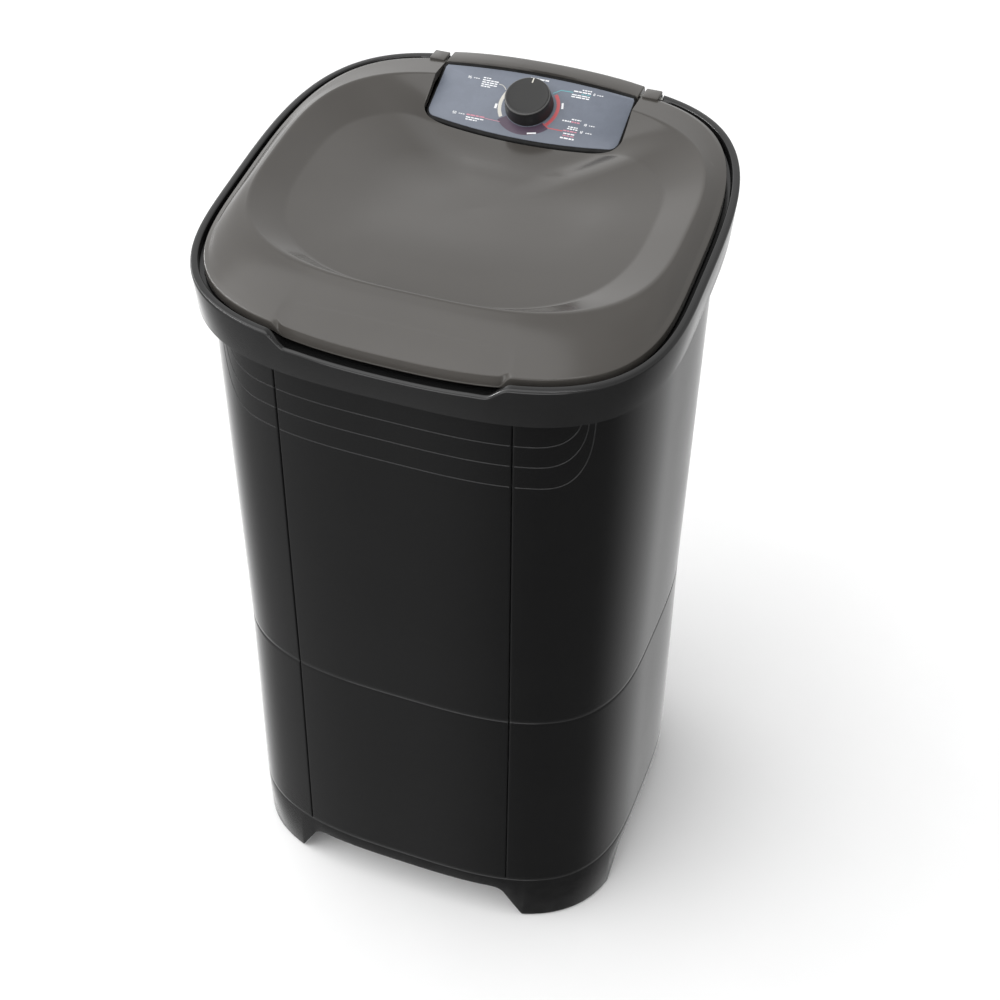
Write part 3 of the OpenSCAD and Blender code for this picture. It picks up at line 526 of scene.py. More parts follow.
front = panel_y("front_panel_look", -1, MATS["shell"])
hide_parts("front_panel")
rear = panel_y("rear_panel_look", 1, MATS["shell"])
holes = [box_mesh((-84, 200, 114), (84, 300, 326))]
for cx, cz, r in ((118, 160, 8.0), (-125, 122, 12.3)):
    a = np.linspace(0, 2 * math.pi, 48, endpoint=False)
    v, f = prism(np.column_stack([r * np.cos(a), r * np.sin(a)]), 0, 80)
    v = np.column_stack([v[:, 0] + cx, v[:, 2] + 210, -v[:, 1] + cz])
    holes.append((v, f))
cut(rear, holes)
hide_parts("rear_panel")
left = panel_side("left_panel_look", -1, MATS["shell"])
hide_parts("left_side_panel")
right = panel_side("right_panel_look", 1, MATS["shell"])
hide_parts("right_side_panel")

# fine raised lines under the collar, in a lighter black that is a painted highlight, following the panels: height,
# start, end and rise of the corner
LINES = [(835.0, 158.0, 214.0, 55.0), (806.0, 162.0, 220.0, 85.0), (775.5, 170.0, 225.5, 110.0)]
skins = [BVHTree.FromPolygons([v.co.copy() for v in o.data.vertices], [list(q.vertices) for q in o.data.polygons]) for o in (front, left, right)]


def skin(x, z):
    best = None
    for tr in skins:
        hit = tr.ray_cast(Vector((x * 0.001, -0.6, z * 0.001)), Vector((0, 1, 0)), 0.6)
        if hit[0] is not None and (best is None or hit[0].y < best[0].y):
            best = hit
    return best


# Sweeps a small rounded bead along the panel surface; its lighter black material is a painted highlight.
def fine_line(name, pts, mat):
    P, N = [], []
    for x, z in pts:
        hit = skin(x, z)
        if hit is None:
            continue
        P.append(np.array(hit[0]) * 1000)
        N.append(np.array(hit[1]) * (-1 if hit[1].y > 0 else 1))
    P, N = np.array(P), np.array(N)
    T = np.gradient(P, axis=0)
    T /= np.linalg.norm(T, axis=1, keepdims=True)
    B = np.cross(T, N)
    B /= np.linalg.norm(B, axis=1, keepdims=True)
    a = np.linspace(0, math.pi, 9)
    prof = [(0.75 * math.cos(w), -0.05 + 0.33 * math.sin(w)) for w in a] + [(-0.75, -0.3), (0.75, -0.3)]
    cols = [np.array([p + b * u + n * w for u, w in prof]) for p, b, n in zip(P, B, N)]
    return striploft(name, cols, mat, angle=60)


for k, (z0, x0, x1, h) in enumerate(LINES):
    w = np.linspace(0, 1, 60)
    cs, cg = np.sin(w * math.pi / 2) ** (2 / 3), np.cos(w * math.pi / 2) ** (2 / 3)
    corner = np.column_stack([x0 + (x1 - x0) * cs, z0 + h * (1 - cg)])
    for g in (-1, 1):
        side = np.concatenate([np.column_stack([np.linspace(JX + 0.9, x0, 8)[:-1], np.full(7, z0)]), corner])
        side = side[side[:, 1] < rim_z(-180) - 34]
        side[:, 0] *= g
        o = fine_line("fine_line_%d%s" % (k, "lr"[g > 0]), side, MATS["shell_bead_painted_highlight"])
    o = fine_line("fine_line_%dm" % k, np.column_stack([np.linspace(-JX + 2.6, JX - 2.6, 120), np.full(120, z0)]), MATS["shell_bead_painted_highlight"])

# ---------------------------------------------------------------- collar
PROF = [(4.2, 0, -52, 0, 0, 1.0), (0, 0, -3, 1, 0, 0.8), (0.9, 0, -0.9, 1, 0, 0.6), (3, 0, 0, 1, 0, 1.2), (8.3, 0, 0, 1, 4, 0.8), (9.6, 0, -1.2, 1, 4, 0.8), (9.9, 0, -12, 0.83, 1, 1.0),
        (33, 0, -12, 0.83, 0, 0), (36, 0, -14, 0.83, 0, 0), (37, 1, 884, 0, 0, 0), (34, 1, 884, 0, 0, 0), (32, 0, -15.2, 0.83, 0, 0), (11.5, 0, -15.2, 0.83, 0, 0), (7, 0, -52, 0, 0, 0.8)]
rings = []
for d, kind, val, share, nar, r in PROF:
    o = rim(PH, d)
    dp = dip(o[:, 0], o[:, 1])
    q = np.stack([np.zeros(len(PH)), np.zeros(len(PH))], -1)
    n = rim(PH, 1.0) - rim(PH, 0.0)
    q = rim(PH, 0.0) + n * (d - nar * np.minimum(1, dp / DIP))[:, None]
    rings.append(ring(q, rim_z(q[:, 1]) + val - share * dp if kind == 0 else val))
collar = ringloft("collar_look", soften(rings, [p[5] for p in PROF], 4, True), MATS["collar"], angle=32)
cut(collar, [box_mesh((-142, 196 + YC, 944), (142, 291 + YC, 1044)), box_mesh((-127.2, 240 + YC, 985), (127.2, 345 + YC, 1050)),
             box_mesh((127.1, 289 + YC, 984.5), (151.7, 349 + YC, 1050)), box_mesh((-151.7, 289 + YC, 984.5), (-127.1, 349 + YC, 1050))], 32)
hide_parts("top_collar")
tray = block("collar_tray", (-148, 190 + YC, 941), (148, 286.5 + YC, 946.9), MATS["collar"])
cut(tray, [box_mesh((-145, 193 + YC, 944), (145, 284 + YC, 990))])
for g in (-1, 1):
    o = block("pin_block_" + "lr"[g > 0], (g * 159 - 6.5, 297 + YC, 985), (g * 159 + 6.5, 309 + YC, 1002), MATS["collar"], r=1.2)

# ---------------------------------------------------------------- lid
DRAIN = (-125.0, 200.0)
LC, LF = np.array([0.0, 50.0]), 958.0


def dish_o(p, d=0.0):
    return sp(p, 255, 188, 205, 3.03, 3.3, d, 55)


def dish_i(p, d=0.0):
    return sp(p, 213, 186, 146, 2.65, 3.2, d, 60)


def z_o(q):
    y = q[:, 1]
    return rim_z(y) + 20.9 - 8.3 * y / 200 + 1.1 * (y / 200) ** 2


def z_i(q, low=1.0):
    y = q[:, 1]
    z = rim_z(y) + 9.4 - 10 * y / 200 - 3.2 * (y / 200) ** 2
    w = np.where(y < 110, 0, smooth(110, 150, y) * (1 - smooth(70, 160, np.abs(q[:, 0]))))
    return z + (np.minimum(z, 961.3) - z) * w * low


def edge(p, d, n=0.0):
    q = rim(p, INSET)
    u = rim(p, 1.0) - rim(p, 0.0)
    return rim(p, 0.0) + u * (INSET + d + n * notch(q[:, 0], q[:, 1]))[:, None]


def lipx(x):
    """Rise of the lip towards its ends."""
    return 3.3 * np.minimum(1.27, (x / 112) ** 2)


def pad(x, y):
    """Pad behind the lip, tilted down to the front."""
    return (6.1 - lipx(x)) * (1 - smooth(124, 140, np.abs(x))) * np.clip((-170 - y) / 32, 0, 1)


def c3(q, z):
    return np.column_stack([q, z])


def lid_rings(p):
    o, i, e, f, g = dish_o(p), dish_i(p), edge(p, 6, -4.4), edge(p, 0.8, 0.1), edge(p, 0, 0.6)
    ze = rim_z(e[:, 1]) + 5.2 - 2.2 * notch(*e.T)
    m = lambda a, b, t: a + (b - a) * t
    q4, q5 = m(o, e, 0.4), m(o, e, 0.8)
    return [c3(m(LC, i, 0.5), m(LF, z_i(i, 0.0), 0.1)), c3(m(LC, i, 0.8), m(LF, z_i(i), 0.63)), c3(i, z_i(i)), c3(o, z_o(o)),
            c3(q4, m(z_o(o), ze, 0.3) - pad(*q4.T)), c3(q5, m(z_o(o), ze, 0.74) - pad(*q5.T)), c3(e, ze - pad(*e.T)),
            c3(f, rim_z(f[:, 1]) + 2.6 - (18.6 - lipx(f[:, 0])) * notch(*f.T)), c3(g, rim_z(g[:, 1]) + 1.6 - (18.3 - lipx(g[:, 0])) * notch(*g.T)),
            c3(g, rim_z(g[:, 1]) - 9 - (8.6 - lipx(g[:, 0])) * notch(*g.T))]


PL = even(lambda p: rim(p, INSET), 720)
R = lid_rings(PL)
start = c3(LC + (R[0][:, :2] - LC) * 0.02, np.full(len(PL), LF))
C = [start] + R
soft = soften(C, [0, 60, 45, 3.2, 4.5, 14, 11, 0.9, 0.8, 0.7, 0], 7)
# denser rings over the dish floor and the border
n0 = len(soft)
soft = split(soft, {0: 22, 7: 8, 14: 14, 21: 9, 28: 9, 35: 9, 42: 8, 49: 3})
top = [s.copy() for s in soft]


def console_front(x, o=0.0):
    t = np.clip((np.abs(x) - 113.5) / 13, 0, 1)
    return 196.8 - o + 10.5 * (x / 126.5) ** 2 + 13 * (1 - np.sqrt(1 - t * t))


def apron_z(x, y):
    """Apron in front of the console: level with the label at its front edge, falling to the dish."""
    a = np.minimum(np.abs(x), 130.5)
    c = console_front(a)
    b = 211.7 - 77 * (1 - (a / 131) ** 2.7) ** (1 / 2.7)
    t = np.maximum((c - y) / (c - b), 0)
    h = LABZ + (c - LABY) * math.tan(TILT) - 1.5
    u = np.minimum(t, 1)
    z = h + (959.8 - h) * (smooth(-0.25, 1, u) * 1.12 - 0.12)
    z = z + (951.3 - z) * smooth(124, 150, np.abs(x))
    return z - 14 * np.maximum(t - 1, 0) - 0.4 * np.maximum(np.abs(x) - 150, 0)


def pad_line(x, y):
    """Outline of the pad behind the lip."""
    dx, dy = np.abs(x) - 124, np.abs(y + 202) - 17
    d = np.hypot(np.maximum(dx, 0), np.maximum(dy, 0)) + np.minimum(np.maximum(dx, dy), 0) - 12
    return 1 - smooth(-0.8, 0.8, d)


def finish_top(s):
    x, y, z = s.T
    a = apron_z(x, y)
    k = 6.0
    h = np.clip(0.5 + 0.5 * (a - z) / k, 0, 1)
    zz = z * (1 - h) + a * h + k * h * (1 - h)
    zz = zz - 0.35 * pad_line(x, y)
    return np.column_stack([x, y, zz])


top = [finish_top(s) if k < len(top) - 15 else s for k, s in enumerate(top)]
g2 = edge(PL, LT, 0.6)
w2 = notch(*g2.T)
bottom_edge = c3(g2, rim_z(g2[:, 1]) - 9 - (8.6 - lipx(g2[:, 0])) * w2)
in_edge = c3(g2, rim_z(g2[:, 1]) - 0.4 - (7.3 - lipx(g2[:, 0])) * w2)
und = [s - np.array([0, 0, LT]) for s in R[:7]][::-1]
und[0] = c3(edge(PL, 6, -1.8), R[6][:, 2] - LT + w2)
und[3] = c3(dish_o(PL, -2.2), R[3][:, 2] - LT)
und[4] = c3(dish_i(PL, -2.2), R[2][:, 2] - LT)
und = soften([top[-1], bottom_edge, in_edge] + und, [0, 0, 0, 2, 6, 6, 4, 8, 12, 12], 3)[1:]
und = [np.column_stack([s[:, 0], s[:, 1], np.where(apron_z(s[:, 0], s[:, 1]) > s[:, 2] + LT, apron_z(s[:, 0], s[:, 1]) - LT, s[:, 2])]) for s in und]
allr = [s + np.array([0, YC, 0]) for s in top + und]
lid = shellloft("lid_look", (0, LC[1] + YC, LF), allr, (0, LC[1] + YC, LF - LT), MATS["lid"], "lid_body", 40)


def front_pts(h, o, n=60):
    t = np.linspace(-1, 1, 2 * n + 1)
    x = 126.5 * np.sign(t) * (1 - (1 - np.abs(t)) ** 1.8)
    return np.column_stack([x * h / 126.5, console_front(x, o)])


tree = BVHTree.FromPolygons([Vector(v.co) for v in lid.data.vertices], [list(p.vertices) for p in lid.data.polygons])


def lid_top(x, y):
    hit = tree.ray_cast(Vector((x * 0.001, (y + YC) * 0.001, 1.2)), Vector((0, 0, -1)))
    return hit[0].z * 1000 if hit[0] is not None else 955.0


HOLE, GAP = 127.8, 1.4
fp = front_pts(HOLE, GAP)
hole = np.concatenate([fp, [[HOLE, 340], [-HOLE, 340]]])
cutters = [prism(np.column_stack([hole[:, 0], hole[:, 1] + YC]), 900, 1100)]
for g in (-1, 1):
    cutters.append(box_mesh((g * 139.65 - 12, HY - 7.5 + YC, 980), (g * 139.65 + 12, HY + 30 + YC, 1030)))
# wall round the console opening, hanging from the lid
path = np.concatenate([[[-HOLE, 290], [-HOLE, 270], [-HOLE, 250], [-HOLE, 232]], fp, [[HOLE, 232], [HOLE, 250], [HOLE, 270], [HOLE, 290]]])
tang = np.gradient(path, axis=0)
nrm = np.column_stack([tang[:, 1], -tang[:, 0]])
nrm /= np.linalg.norm(nrm, axis=1, keepdims=True)
o1 = path + nrm * 1.8
zt = np.array([lid_top(*q) for q in o1]) - 0.4
cols = [np.array([[a[0], a[1] + YC, z - 9], [b[0], b[1] + YC, z - 9], [b[0], b[1] + YC, z], [a[0], a[1] + YC, z]]) for a, b, z in zip(path + nrm * 0.02, o1, zt)]
cut(lid, cutters, 40)
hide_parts("lid")
wall = striploft("lid_opening_wall", cols, MATS["lid"], "lid_body", 40)
for g in (-1, 1):
    s = "lr"[g > 0]
    x0, x1 = g * 139.65 - 10.15, g * 139.65 + 10.15
    a = np.linspace(0, 2 * math.pi, 48, endpoint=False)
    v, f = prism(np.column_stack([6.5 * np.cos(a), 6.5 * np.sin(a)]), x0, x1)
    v = np.column_stack([v[:, 2], v[:, 0] + HY + YC, v[:, 1] + HZ])
    o = build("lid_barrel_" + s, v, f, MATS["lid"], "lid_body", 40)
    pin = prism(np.column_stack([2.55 * np.cos(a), 2.55 * np.sin(a)]), x0 - 3, x1 + 3)
    cut(o, [(np.column_stack([pin[0][:, 2], pin[0][:, 0] + HY + YC, pin[0][:, 1] + HZ]), pin[1])], 40)
    o = block("lid_ear_" + s, (x0, 288 + YC, HZ + 2.6), (x1, 309 + YC, HZ + 9.6), MATS["lid"], "lid_body", 1.4)

# ---------------------------------------------------------------- console
def lab(u, v, w=0.0):
    return np.column_stack([np.asarray(u, float) + 0 * np.asarray(v), LABY + YC + np.asarray(v) * CT - w * ST, LABZ + np.asarray(v) * ST + w * CT])


def lab_back(x):
    return 81.8 + 8 * (1 - (np.abs(x) / 125.3) ** 2)


def inset(poly, d):
    """Moves a closed polygon (anticlockwise) inward by d."""
    t = np.roll(poly, -1, 0) - np.roll(poly, 1, 0)
    n = np.column_stack([-t[:, 1], t[:, 0]])
    n /= np.linalg.norm(n, axis=1, keepdims=True)
    return poly + n * d


ff = front_pts(126.2, 0)
bx = np.linspace(126.2, -126.2, 81)
by = (lab_back(bx) * CT + LABY)
t = np.clip((np.abs(bx) - 120.2) / 6.0, 0, 1)
by = by - 6.0 * (1 - np.sqrt(1 - t * t))
sides_r = np.column_stack([np.full(20, 126.2), np.linspace(ff[-1, 1], by[0], 22)[1:-1]])
sides_l = np.column_stack([np.full(20, -126.2), np.linspace(by[-1], ff[0, 1], 22)[1:-1]])
plan = np.concatenate([ff, sides_r, np.column_stack([bx, by]), sides_l])


def on_plane(poly, w=0.0):
    v = (poly[:, 1] - LABY) / CT
    return np.column_stack([poly[:, 0], poly[:, 1] + YC, LABZ + v * ST + w / CT])


K = len(plan)
WIDER = np.array([1.0128, 1.0])
rings = [np.column_stack([plan[:, 0], plan[:, 1] + YC, np.full(K, 947.0)]), on_plane(plan, -1.4), on_plane(inset(plan, 0.4), -0.4), on_plane(inset(plan, 1.2), 0.0), on_plane(inset(plan, 4.4) * WIDER, 0.0), on_plane(inset(plan, 4.6) * WIDER, -0.9)]
v = np.concatenate(rings)
f = faces_grid(len(rings), K, True, False)
f.append([5 * K + i for i in range(K)])
f.append(list(range(K))[::-1])
housing = build("console_look", v, f, MATS["console_black"], angle=50)
q3 = inset(plan, 3.0)
cutb = (np.concatenate([np.column_stack([q3[:, 0], q3[:, 1] + YC, np.full(K, 900.0)]), on_plane(q3, -3.9)]), faces_grid(2, K, True, False) + [list(range(K))[::-1], [K + i for i in range(K)]])


def label_hole(r):
    a = np.linspace(0, 2 * math.pi, 48, endpoint=False)
    v, f = prism(np.column_stack([r * np.cos(a), KV + r * np.sin(a)]), -12, 12)
    return np.column_stack([v[:, 0], LABY + YC + v[:, 1] * CT - v[:, 2] * ST, LABZ + v[:, 1] * ST + v[:, 2] * CT]), f


cut(housing, [cutb, label_hole(6.0)], 50)
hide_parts("control_housing")

lp = inset(plan, 4.75) * WIDER
rings = [on_plane(lp, -0.85), on_plane(lp, 0.0), on_plane(inset(lp, 0.3), 0.25)]
v = np.concatenate(rings)
f = faces_grid(3, K, True, False)
f.append([2 * K + i for i in range(K)])
f.append(list(range(K))[::-1])
label = cut(build("label_look", v, f, MATS["label"], angle=50), [label_hole(6.0)], 50)
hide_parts("control_label")

# trim behind the label
xs = np.concatenate([125.4 - np.linspace(0, 1.2, 5), np.linspace(124.2, -124.2, 90)[1:-1], -125.4 + np.linspace(1.2, 0, 5)])
cols = []
for x in xs:
    rr = float(edge_round(125.4 - abs(x), 1.2))
    y1 = float(lab_back(np.array(x)) * CT + LABY) + 0.3 - 6.0 * (1 - math.sqrt(1 - min(1, max(0, (abs(x) - 120.2) / 6.0)) ** 2))
    y2 = RB * (1 - (abs(x) / RW) ** NB) ** (1 / NB)
    zt_ = 1009.6 + 6 * (1 - (x / 125.3) ** 2) - rr
    prof = [(y2, 985.2), (y2, zt_ - 5), (y2 - 0.5, zt_ - 2.8), (y2 - 1.6, zt_ - 1.3), (y2 - 3.6, zt_ - 0.3), (y2 - 6, zt_), (y1 + 1.0, zt_), (y1 + 0.3, zt_ - 0.3), (y1, zt_ - 1.0), (y1, 985.2)]
    cols.append(np.array([[x, a + YC, b] for a, b in prof]))
trim = striploft("trim_look", cols, MATS["lid"], angle=40)
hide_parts("console_trim")

# ---------------------------------------------------------------- knob
KM = Matrix.Translation((0, LABY + YC + KV * CT - 0.9 * ST, LABZ + KV * ST + 0.9 * CT)) @ Matrix.Rotation(TILT, 4, "X")
prof = [(26.0, 3.0), (27.4, 0.3), (29.2, 0.0), (29.8, 0.25), (30.0, 0.9), (30.0, 2.6), (29.5, 8), (28.9, 14), (28.5, 18.6), (28.25, 20.0), (27.7, 20.9), (27.0, 21.5), (26.2, 21.8), (25.4, 21.9), (24.5, 21.75), (22.0, 21.6), (12, 21.5), (0.0, 21.5)]
knob = turned("knob_look", prof, MATS["knob"], "timer", KM, 192, 40)
# the faces of the top chamfer ring get the lighter grey: a painted highlight, not a different plastic
knob.data.materials.append(MATS["knob_painted_highlight"])
KI = KM.inverted()
for pl in knob.data.polygons:
    c = KI @ (pl.center * 1000)
    if 20.05 < c.z < 21.45 and 26.9 < math.hypot(c.x, c.y) < 28.3:
        pl.material_index = 1
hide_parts("timer_knob")


def knob_pt(x, y, z):
    return KM @ Vector((x, y, z))


vv = []
for x, y in ((-0.8, 19.5), (0.8, 19.5), (0.8, 26.5), (-0.8, 26.5)):
    vv.append(list(knob_pt(x, y, 21.95)))
tick = build("knob_tick", vv, [[0, 1, 2, 3]], INK["cream"], "timer", flat=True)

# ---------------------------------------------------------------- printed marks
marks = {k: ([], []) for k in INK}


def quad(col, pts, w=0.34):
    v, f = marks[col]
    n = len(v)
    p = lab(np.array([q[0] for q in pts]), np.array([q[1] for q in pts]), w)
    v.extend(p.tolist())
    f.append(list(range(n, n + len(pts))))


def bar(col, u0, v0, u1, v1, h, w=0.34):
    """Bar from (u0, v0) to (u1, v1), h tall."""
    d = np.array([u1 - u0, v1 - v0], float)
    L = np.linalg.norm(d)
    n = np.array([-d[1], d[0]]) / L * h / 2
    quad(col, [(u0 - n[0], v0 - n[1]), (u1 - n[0], v1 - n[1]), (u1 + n[0], v1 + n[1]), (u0 + n[0], v0 + n[1])], w)


def words(col, u0, v0, length, h=1.5, pieces=4, seed=1):
    """A row of short generic bars."""
    x = u0
    k = 0
    ws = [0.34, 0.2, 0.28, 0.18, 0.3, 0.24]
    while x < u0 + length - 0.8 and k < 12:
        L = min(ws[(k + seed) % 6] * length * 0.9, u0 + length - x)
        bar(col, x, v0, x + L, v0, h)
        x += L + 0.9
        k += 1


def arc(col, r0, r1, a0, a1, w=0.34, n=40):
    """Ring sector round the knob, angles in degrees from +u, anticlockwise."""
    a = np.radians(np.linspace(a0, a1, n))
    for p, q in zip(a[:-1], a[1:]):
        quad(col, [(r0 * math.cos(p), KV + r0 * math.sin(p)), (r1 * math.cos(p), KV + r1 * math.sin(p)), (r1 * math.cos(q), KV + r1 * math.sin(q)), (r0 * math.cos(q), KV + r0 * math.sin(q))], w)


SEG = {"0": "abcdef", "1": "bc", "2": "abged", "3": "abgcd", "4": "fgbc", "5": "afgcd", "6": "afgedc", "7": "abc", "8": "abcdefg", "9": "abcdfg"}
SP = {"a": ((0, 1), (1, 1)), "b": ((1, 1), (1, .5)), "c": ((1, .5), (1, 0)), "d": ((0, 0), (1, 0)), "e": ((0, 0), (0, .5)), "f": ((0, .5), (0, 1)), "g": ((0, .5), (1, .5))}


def number(text, u, v, h=3.0, col="white"):
    for ch in text:
        for s in SEG[ch]:
            (a, b), (c, d) = SP[s]
            bar(col, u + a * h * .5, v + b * h, u + c * h * .5, v + d * h, 0.65)
        u += h * 0.5 + 1.1


# upper left block, with a cream leader to the arc
number("35", -90.0, 63.0)
words("white", -82.5, 64.6, 9, 1.1, 2, 3)
for k, (u, v, L) in enumerate([(-70.5, 67.6, 11), (-70.4, 64.2, 21), (-70.2, 61.0, 20), (-70.0, 57.8, 20), (-69.8, 54.8, 13)]):
    words("white", u, v, L, 1.5, 4, k)
for a, b in (((-48.5, 62.0), (-43.5, 61.4)), ((-43.5, 61.4), (-39.6, 58.8)), ((-39.6, 58.8), (-36.4, 55.0))):
    bar("cream", *a, *b, 0.8)
arc("cream", 35.2, 39.6, 154, 216)
bar("white", -41.5, 33.0, -41.2, 26.0, 3.0, 0.4)
# top
words("white", -12.5, 79.6, 24, 2.2, 4, 2)
# upper right block, with a teal leader
for a, b in (((22.0, 63.0), (26.0, 66.0)), ((26.0, 66.0), (30.5, 69.6)), ((30.5, 69.6), (46.0, 70.0))):
    bar("teal", *a, *b, 1.0)
words("white", 56.5, 75.6, 12, 1.5, 3, 1)
words("white", 46.5, 72.2, 22, 1.7, 4, 2)
words("teal", 57.0, 69.4, 12, 1.2, 3, 2)
words("white", 45.5, 66.8, 23, 1.5, 4, 4)
words("white", 45.5, 63.8, 23, 1.6, 4, 5)
number("8", 72.0, 70.6)
words("white", 76.6, 72.0, 9, 1.1, 2, 3)
# red arc, right
arc("red", 33.4, 37.8, -38, 42)
bar("white", 38.6, 51.5, 40.6, 43.0, 2.6, 0.4)
# plum segment under the knob
arc("plum", 30.5, 42.5, 219, 320, 0.3, 60)
bar("white", 9.5, -1.4, 20.5, 1.6, 2.2, 0.4)
# lower left block, with a pink leader
number("50", -91.0, 7.6)
words("white", -83.2, 9.0, 9, 1.1, 2, 3)
words("pink", -73.0, 9.6, 24, 1.9, 4, 1)
words("white", -72.6, 5.8, 23, 1.5, 4, 2)
words("white", -72.2, 2.7, 15, 1.5, 3, 5)
bar("pink", -49.0, 8.6, -29.0, 8.0, 0.7)
# lower right blocks, with a red leader
words("white", 57.0, 31.0, 12, 1.5, 3, 2)
words("white", 46.0, 27.2, 11, 1.9, 3, 1)
words("pink", 57.5, 27.2, 11, 1.9, 3, 4)
number("18", 73.0, 24.8)
words("white", 80.5, 26.2, 8, 1.1, 2, 3)
for a, b in (((24.0, 17.0), (32.0, 12.0)), ((32.0, 12.0), (51.0, 11.9))):
    bar("red", *a, *b, 1.3)
words("white", 56.0, 19.6, 12, 1.6, 3, 3)
words("white", 55.5, 16.8, 13, 1.4, 3, 1)
words("pink", 51.5, 13.2, 17, 1.7, 4, 2)
words("white", 53.0, 9.2, 15.5, 1.5, 3, 4)
words("pink", 53.0, 6.2, 15.5, 1.3, 3, 4)
words("white", 51.0, 2.4, 17.5, 2.0, 3, 5)
number("12", 71.5, 13.6)
words("white", 79.5, 15.0, 9, 1.1, 2, 3)
for col, (v, f) in marks.items():
    if f:
        o = build("marks_" + col, np.array(v), f, INK[col], flat=True)

# ---------------------------------------------------------------- tub and its parts
def tubp(e, d=0.0, p=PH):
    return sp(p, e[1], e[2], e[3], NF, NB, d)


inner = [(405, 211, 146, 242), (408, 214.5, 149.5, 245.5), (430, 229, 163, 259), (882.5, 253, 178, 278)]
outer = [(879.5, 256, 181, 281), (430, 232, 166, 262), (405, 216, 151, 247), (402, 212, 147, 243)]
rings = [ring(tubp(e), e[0]) for e in inner] + [ring(rim(PH, 29), 882.5), ring(rim(PH, 29), 879.5)] + [ring(tubp(e), e[0]) for e in outer]
hub = ring(np.column_stack([24.05 * np.sin(PH), 50 - 24.05 * np.cos(PH)]), 405.0)
rings = [hub] + rings + [hub - np.array([0, 0, 3.0])]
v = np.concatenate(soften(rings, [0, 9, 9, 14, 1.5, 0.8, 0.5, 0, 8, 3, 2, 0], 4))
Mn = len(v) // len(PH)
tub = build("tub_look", v, faces_grid(Mn, len(PH), True, True, 0, True), MATS["tub"], angle=35)
a = np.linspace(0, 2 * math.pi, 48, endpoint=False)
cut(tub, [prism(np.column_stack([DRAIN[0] + 12.5 * np.cos(a), DRAIN[1] + YC + 12.5 * np.sin(a)]), 390, 420)], 35)
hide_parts("wash_tub")

# ---------------------------------------------------------------- finishes on the rest
for n, o in NODES.items():
    o.data.materials.clear()
    o.data.materials.append(MATS[SLOT[n]])

# ---------------------------------------------------------------- floor, light and camera
def floor_mat():
    m = bpy.data.materials.new("floor_pale")
    m.use_nodes = True
    t = m.node_tree
    b = t.nodes["Principled BSDF"]
    vec, _ = coords(t)
    n = noise(t, vec, 3.0, 4.0)
    t.links.new(mixrgb(t, n.ramp(0.3, 0.7), (0.86, 0.86, 0.86), (0.88, 0.88, 0.88)), b.inputs["Base Color"])
    t.links.new(n.ramp(0.3, 0.7, 0.6, 0.7).s, b.inputs["Roughness"])
    b.inputs["Specular IOR Level"].default_value = 0.1
    return m


me = bpy.data.meshes.new("floor")
me.from_pydata([(-9, -9, -0.0005), (9, -9, -0.0005), (9, 9, -0.0005), (-9, 9, -0.0005)], [], [(0, 1, 2, 3)])
floor = bpy.data.objects.new("floor", me)
bpy.context.scene.collection.objects.link(floor)
me.materials.append(floor_mat())
floor.visible_glossy = False

world = bpy.data.worlds.new("studio")
bpy.context.scene.world = world
world.use_nodes = True
bg = world.node_tree.nodes["Background"]
bg.inputs[0].default_value = (1.0, 1.0, 1.0, 1.0)
wt = world.node_tree
wc = wt.nodes.new("ShaderNodeTexCoord")
wd = wt.nodes.new("ShaderNodeVectorMath")
wd.operation = "DOT_PRODUCT"
wd.inputs[1].default_value = (-0.95, 0.1, 0.3)
wt.links.new(wc.outputs["Generated"], wd.inputs[0])
wz = wt.nodes.new("ShaderNodeSeparateXYZ")
wt.links.new(wc.outputs["Generated"], wz.inputs[0])
low = X(wt, wz.outputs["Y"]).ramp(-0.15, 0.74, 0.22, 0.86) * X(wt, wz.outputs["X"]).ramp(-0.35, 0.3, 1.4, 0.8)
up_ = X(wt, wz.outputs["Z"]).ramp(-0.25, 0.15)
wt.links.new((X(wt, wd.outputs["Value"]).ramp(-0.5, 0.75, 0.72, 1.36) * X(wt, wz.outputs["Z"]).ramp(0.68, 0.92, 1.06, 0.68) * (low * (1.0 - up_) + up_)).s, bg.inputs[1])


def area(name, loc, target, sx, sy, power, color=(1, 1, 1)):
    l = bpy.data.lights.new(name, "AREA")
    l.shape, l.size, l.size_y, l.energy, l.color = "RECTANGLE", sx, sy, power, color
    o = bpy.data.objects.new(name, l)
    o.location = loc
    o.rotation_mode = "QUATERNION"
    o.rotation_quaternion = (Vector(target) - Vector(loc)).to_track_quat("-Z", "Y")
    bpy.context.scene.collection.objects.link(o)
    return o


def sun(name, frm, strength, angle):
    l = bpy.data.lights.new(name, "SUN")
    l.energy, l.angle = strength, math.radians(angle)
    o = bpy.data.objects.new(name, l)
    o.rotation_mode = "QUATERNION"
    o.rotation_quaternion = (-Vector(frm)).to_track_quat("-Z", "Y")
    bpy.context.scene.collection.objects.link(o)
    return o


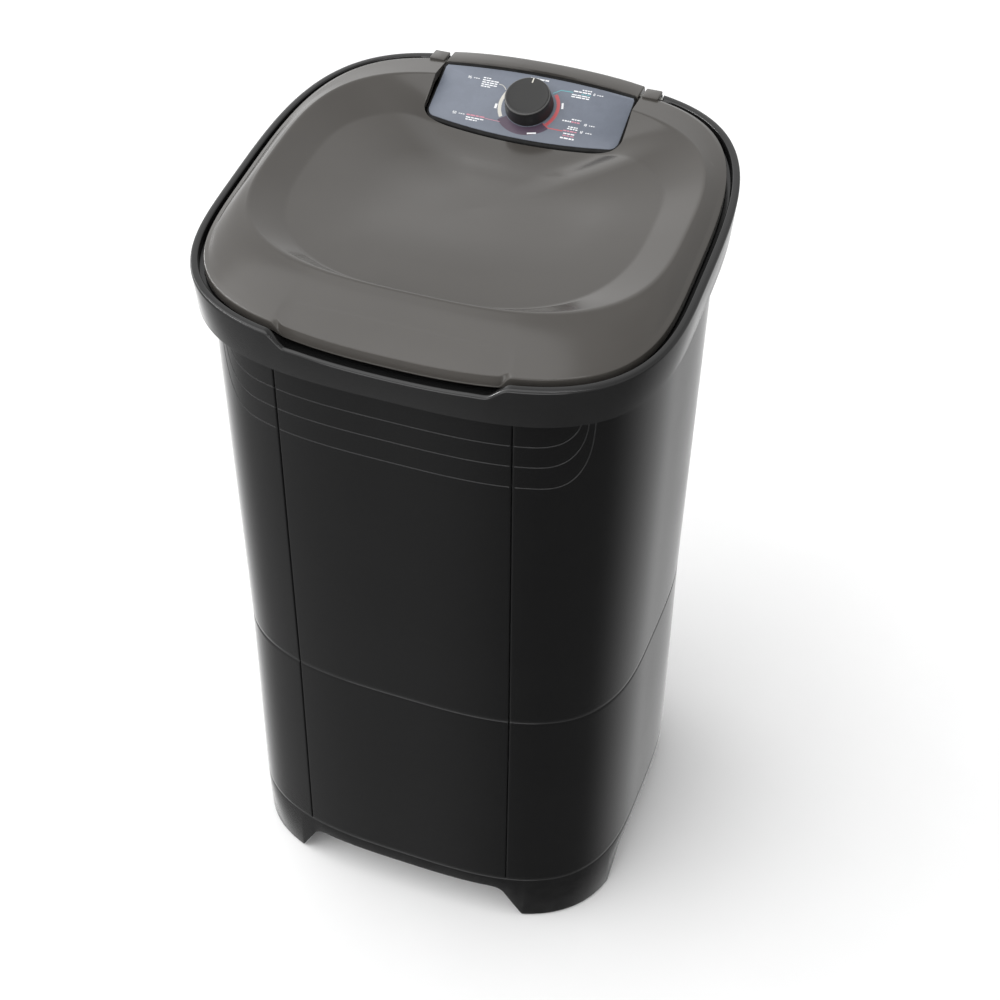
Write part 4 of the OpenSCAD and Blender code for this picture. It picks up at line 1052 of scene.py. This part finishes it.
sun("sun_soft", (-0.7, -0.5, 1.5), 1.25, 60)
area("key_back", (-2.2, 2.8, 2.6), (0, 0, 0.95), 2.0, 1.6, 5)
area("front_low", (0.1, -2.6, 0.75), (0, 0, 0.85), 2.4, 0.8, 14)
area("floor_left", (-1.45, 0.1, 0.6), (-1.45, 0.1, 0.0), 0.9, 1.8, 5)



def strip(name, a, b, target, width, power):
    """Strip light from a to b for the line of gloss on an edge; it lights nothing else."""
    a, b = Vector(a), Vector(b)
    c = (a + b) / 2
    z = (c - Vector(target)).normalized()
    x = ((b - a) - z * (b - a).dot(z)).normalized()
    y = z.cross(x)
    o = area(name, c, target, (b - a).length, width, power)
    o.rotation_quaternion = Matrix(((x.x, y.x, z.x), (x.y, y.y, z.y), (x.z, y.z, z.z))).to_quaternion()
    o.visible_diffuse = False
    return o


strip("edge_left", (-2.8, 0.96, 1.35), (-1.8, -1.2, 2.75), (-0.2, -0.15, 0.95), 0.14, 30)
strip("edge_right", (0.45, -1.75, 3.15), (1.15, -1.45, 3.15), (0.1, -0.2, 0.95), 0.14, 7)

yaw, el, D, roll = math.radians(21.445), math.radians(39.300), 2.2925, -0.00308
tgt = Vector((0.0165, -0.050, 0.6648))
pos = tgt + D * Vector((math.sin(yaw) * math.cos(el), -math.cos(yaw) * math.cos(el), math.sin(el)))
fw = (tgt - pos).normalized()
rt = fw.cross(Vector((0, 0, 1))).normalized()
up = rt.cross(fw)
r2 = math.cos(roll) * rt + math.sin(roll) * up
u2 = -math.sin(roll) * rt + math.cos(roll) * up
cd = bpy.data.cameras.new("camera")
cam = bpy.data.objects.new("camera", cd)
bpy.context.scene.collection.objects.link(cam)
cam.matrix_world = Matrix(((r2.x, u2.x, -fw.x, pos.x), (r2.y, u2.y, -fw.y, pos.y), (r2.z, u2.z, -fw.z, pos.z), (0, 0, 0, 1)))
cd.sensor_width = 36.0
cd.lens = 1848.28 * 36.0 / 1000.0
cd.shift_x = (500 - 470.05) / 1000.0
cd.shift_y = (433.60 - 500) / 1000.0
cd.clip_start, cd.clip_end = 0.05, 50.0
bpy.context.scene.view_settings.view_transform = "Standard"
bpy.context.scene.camera = cam
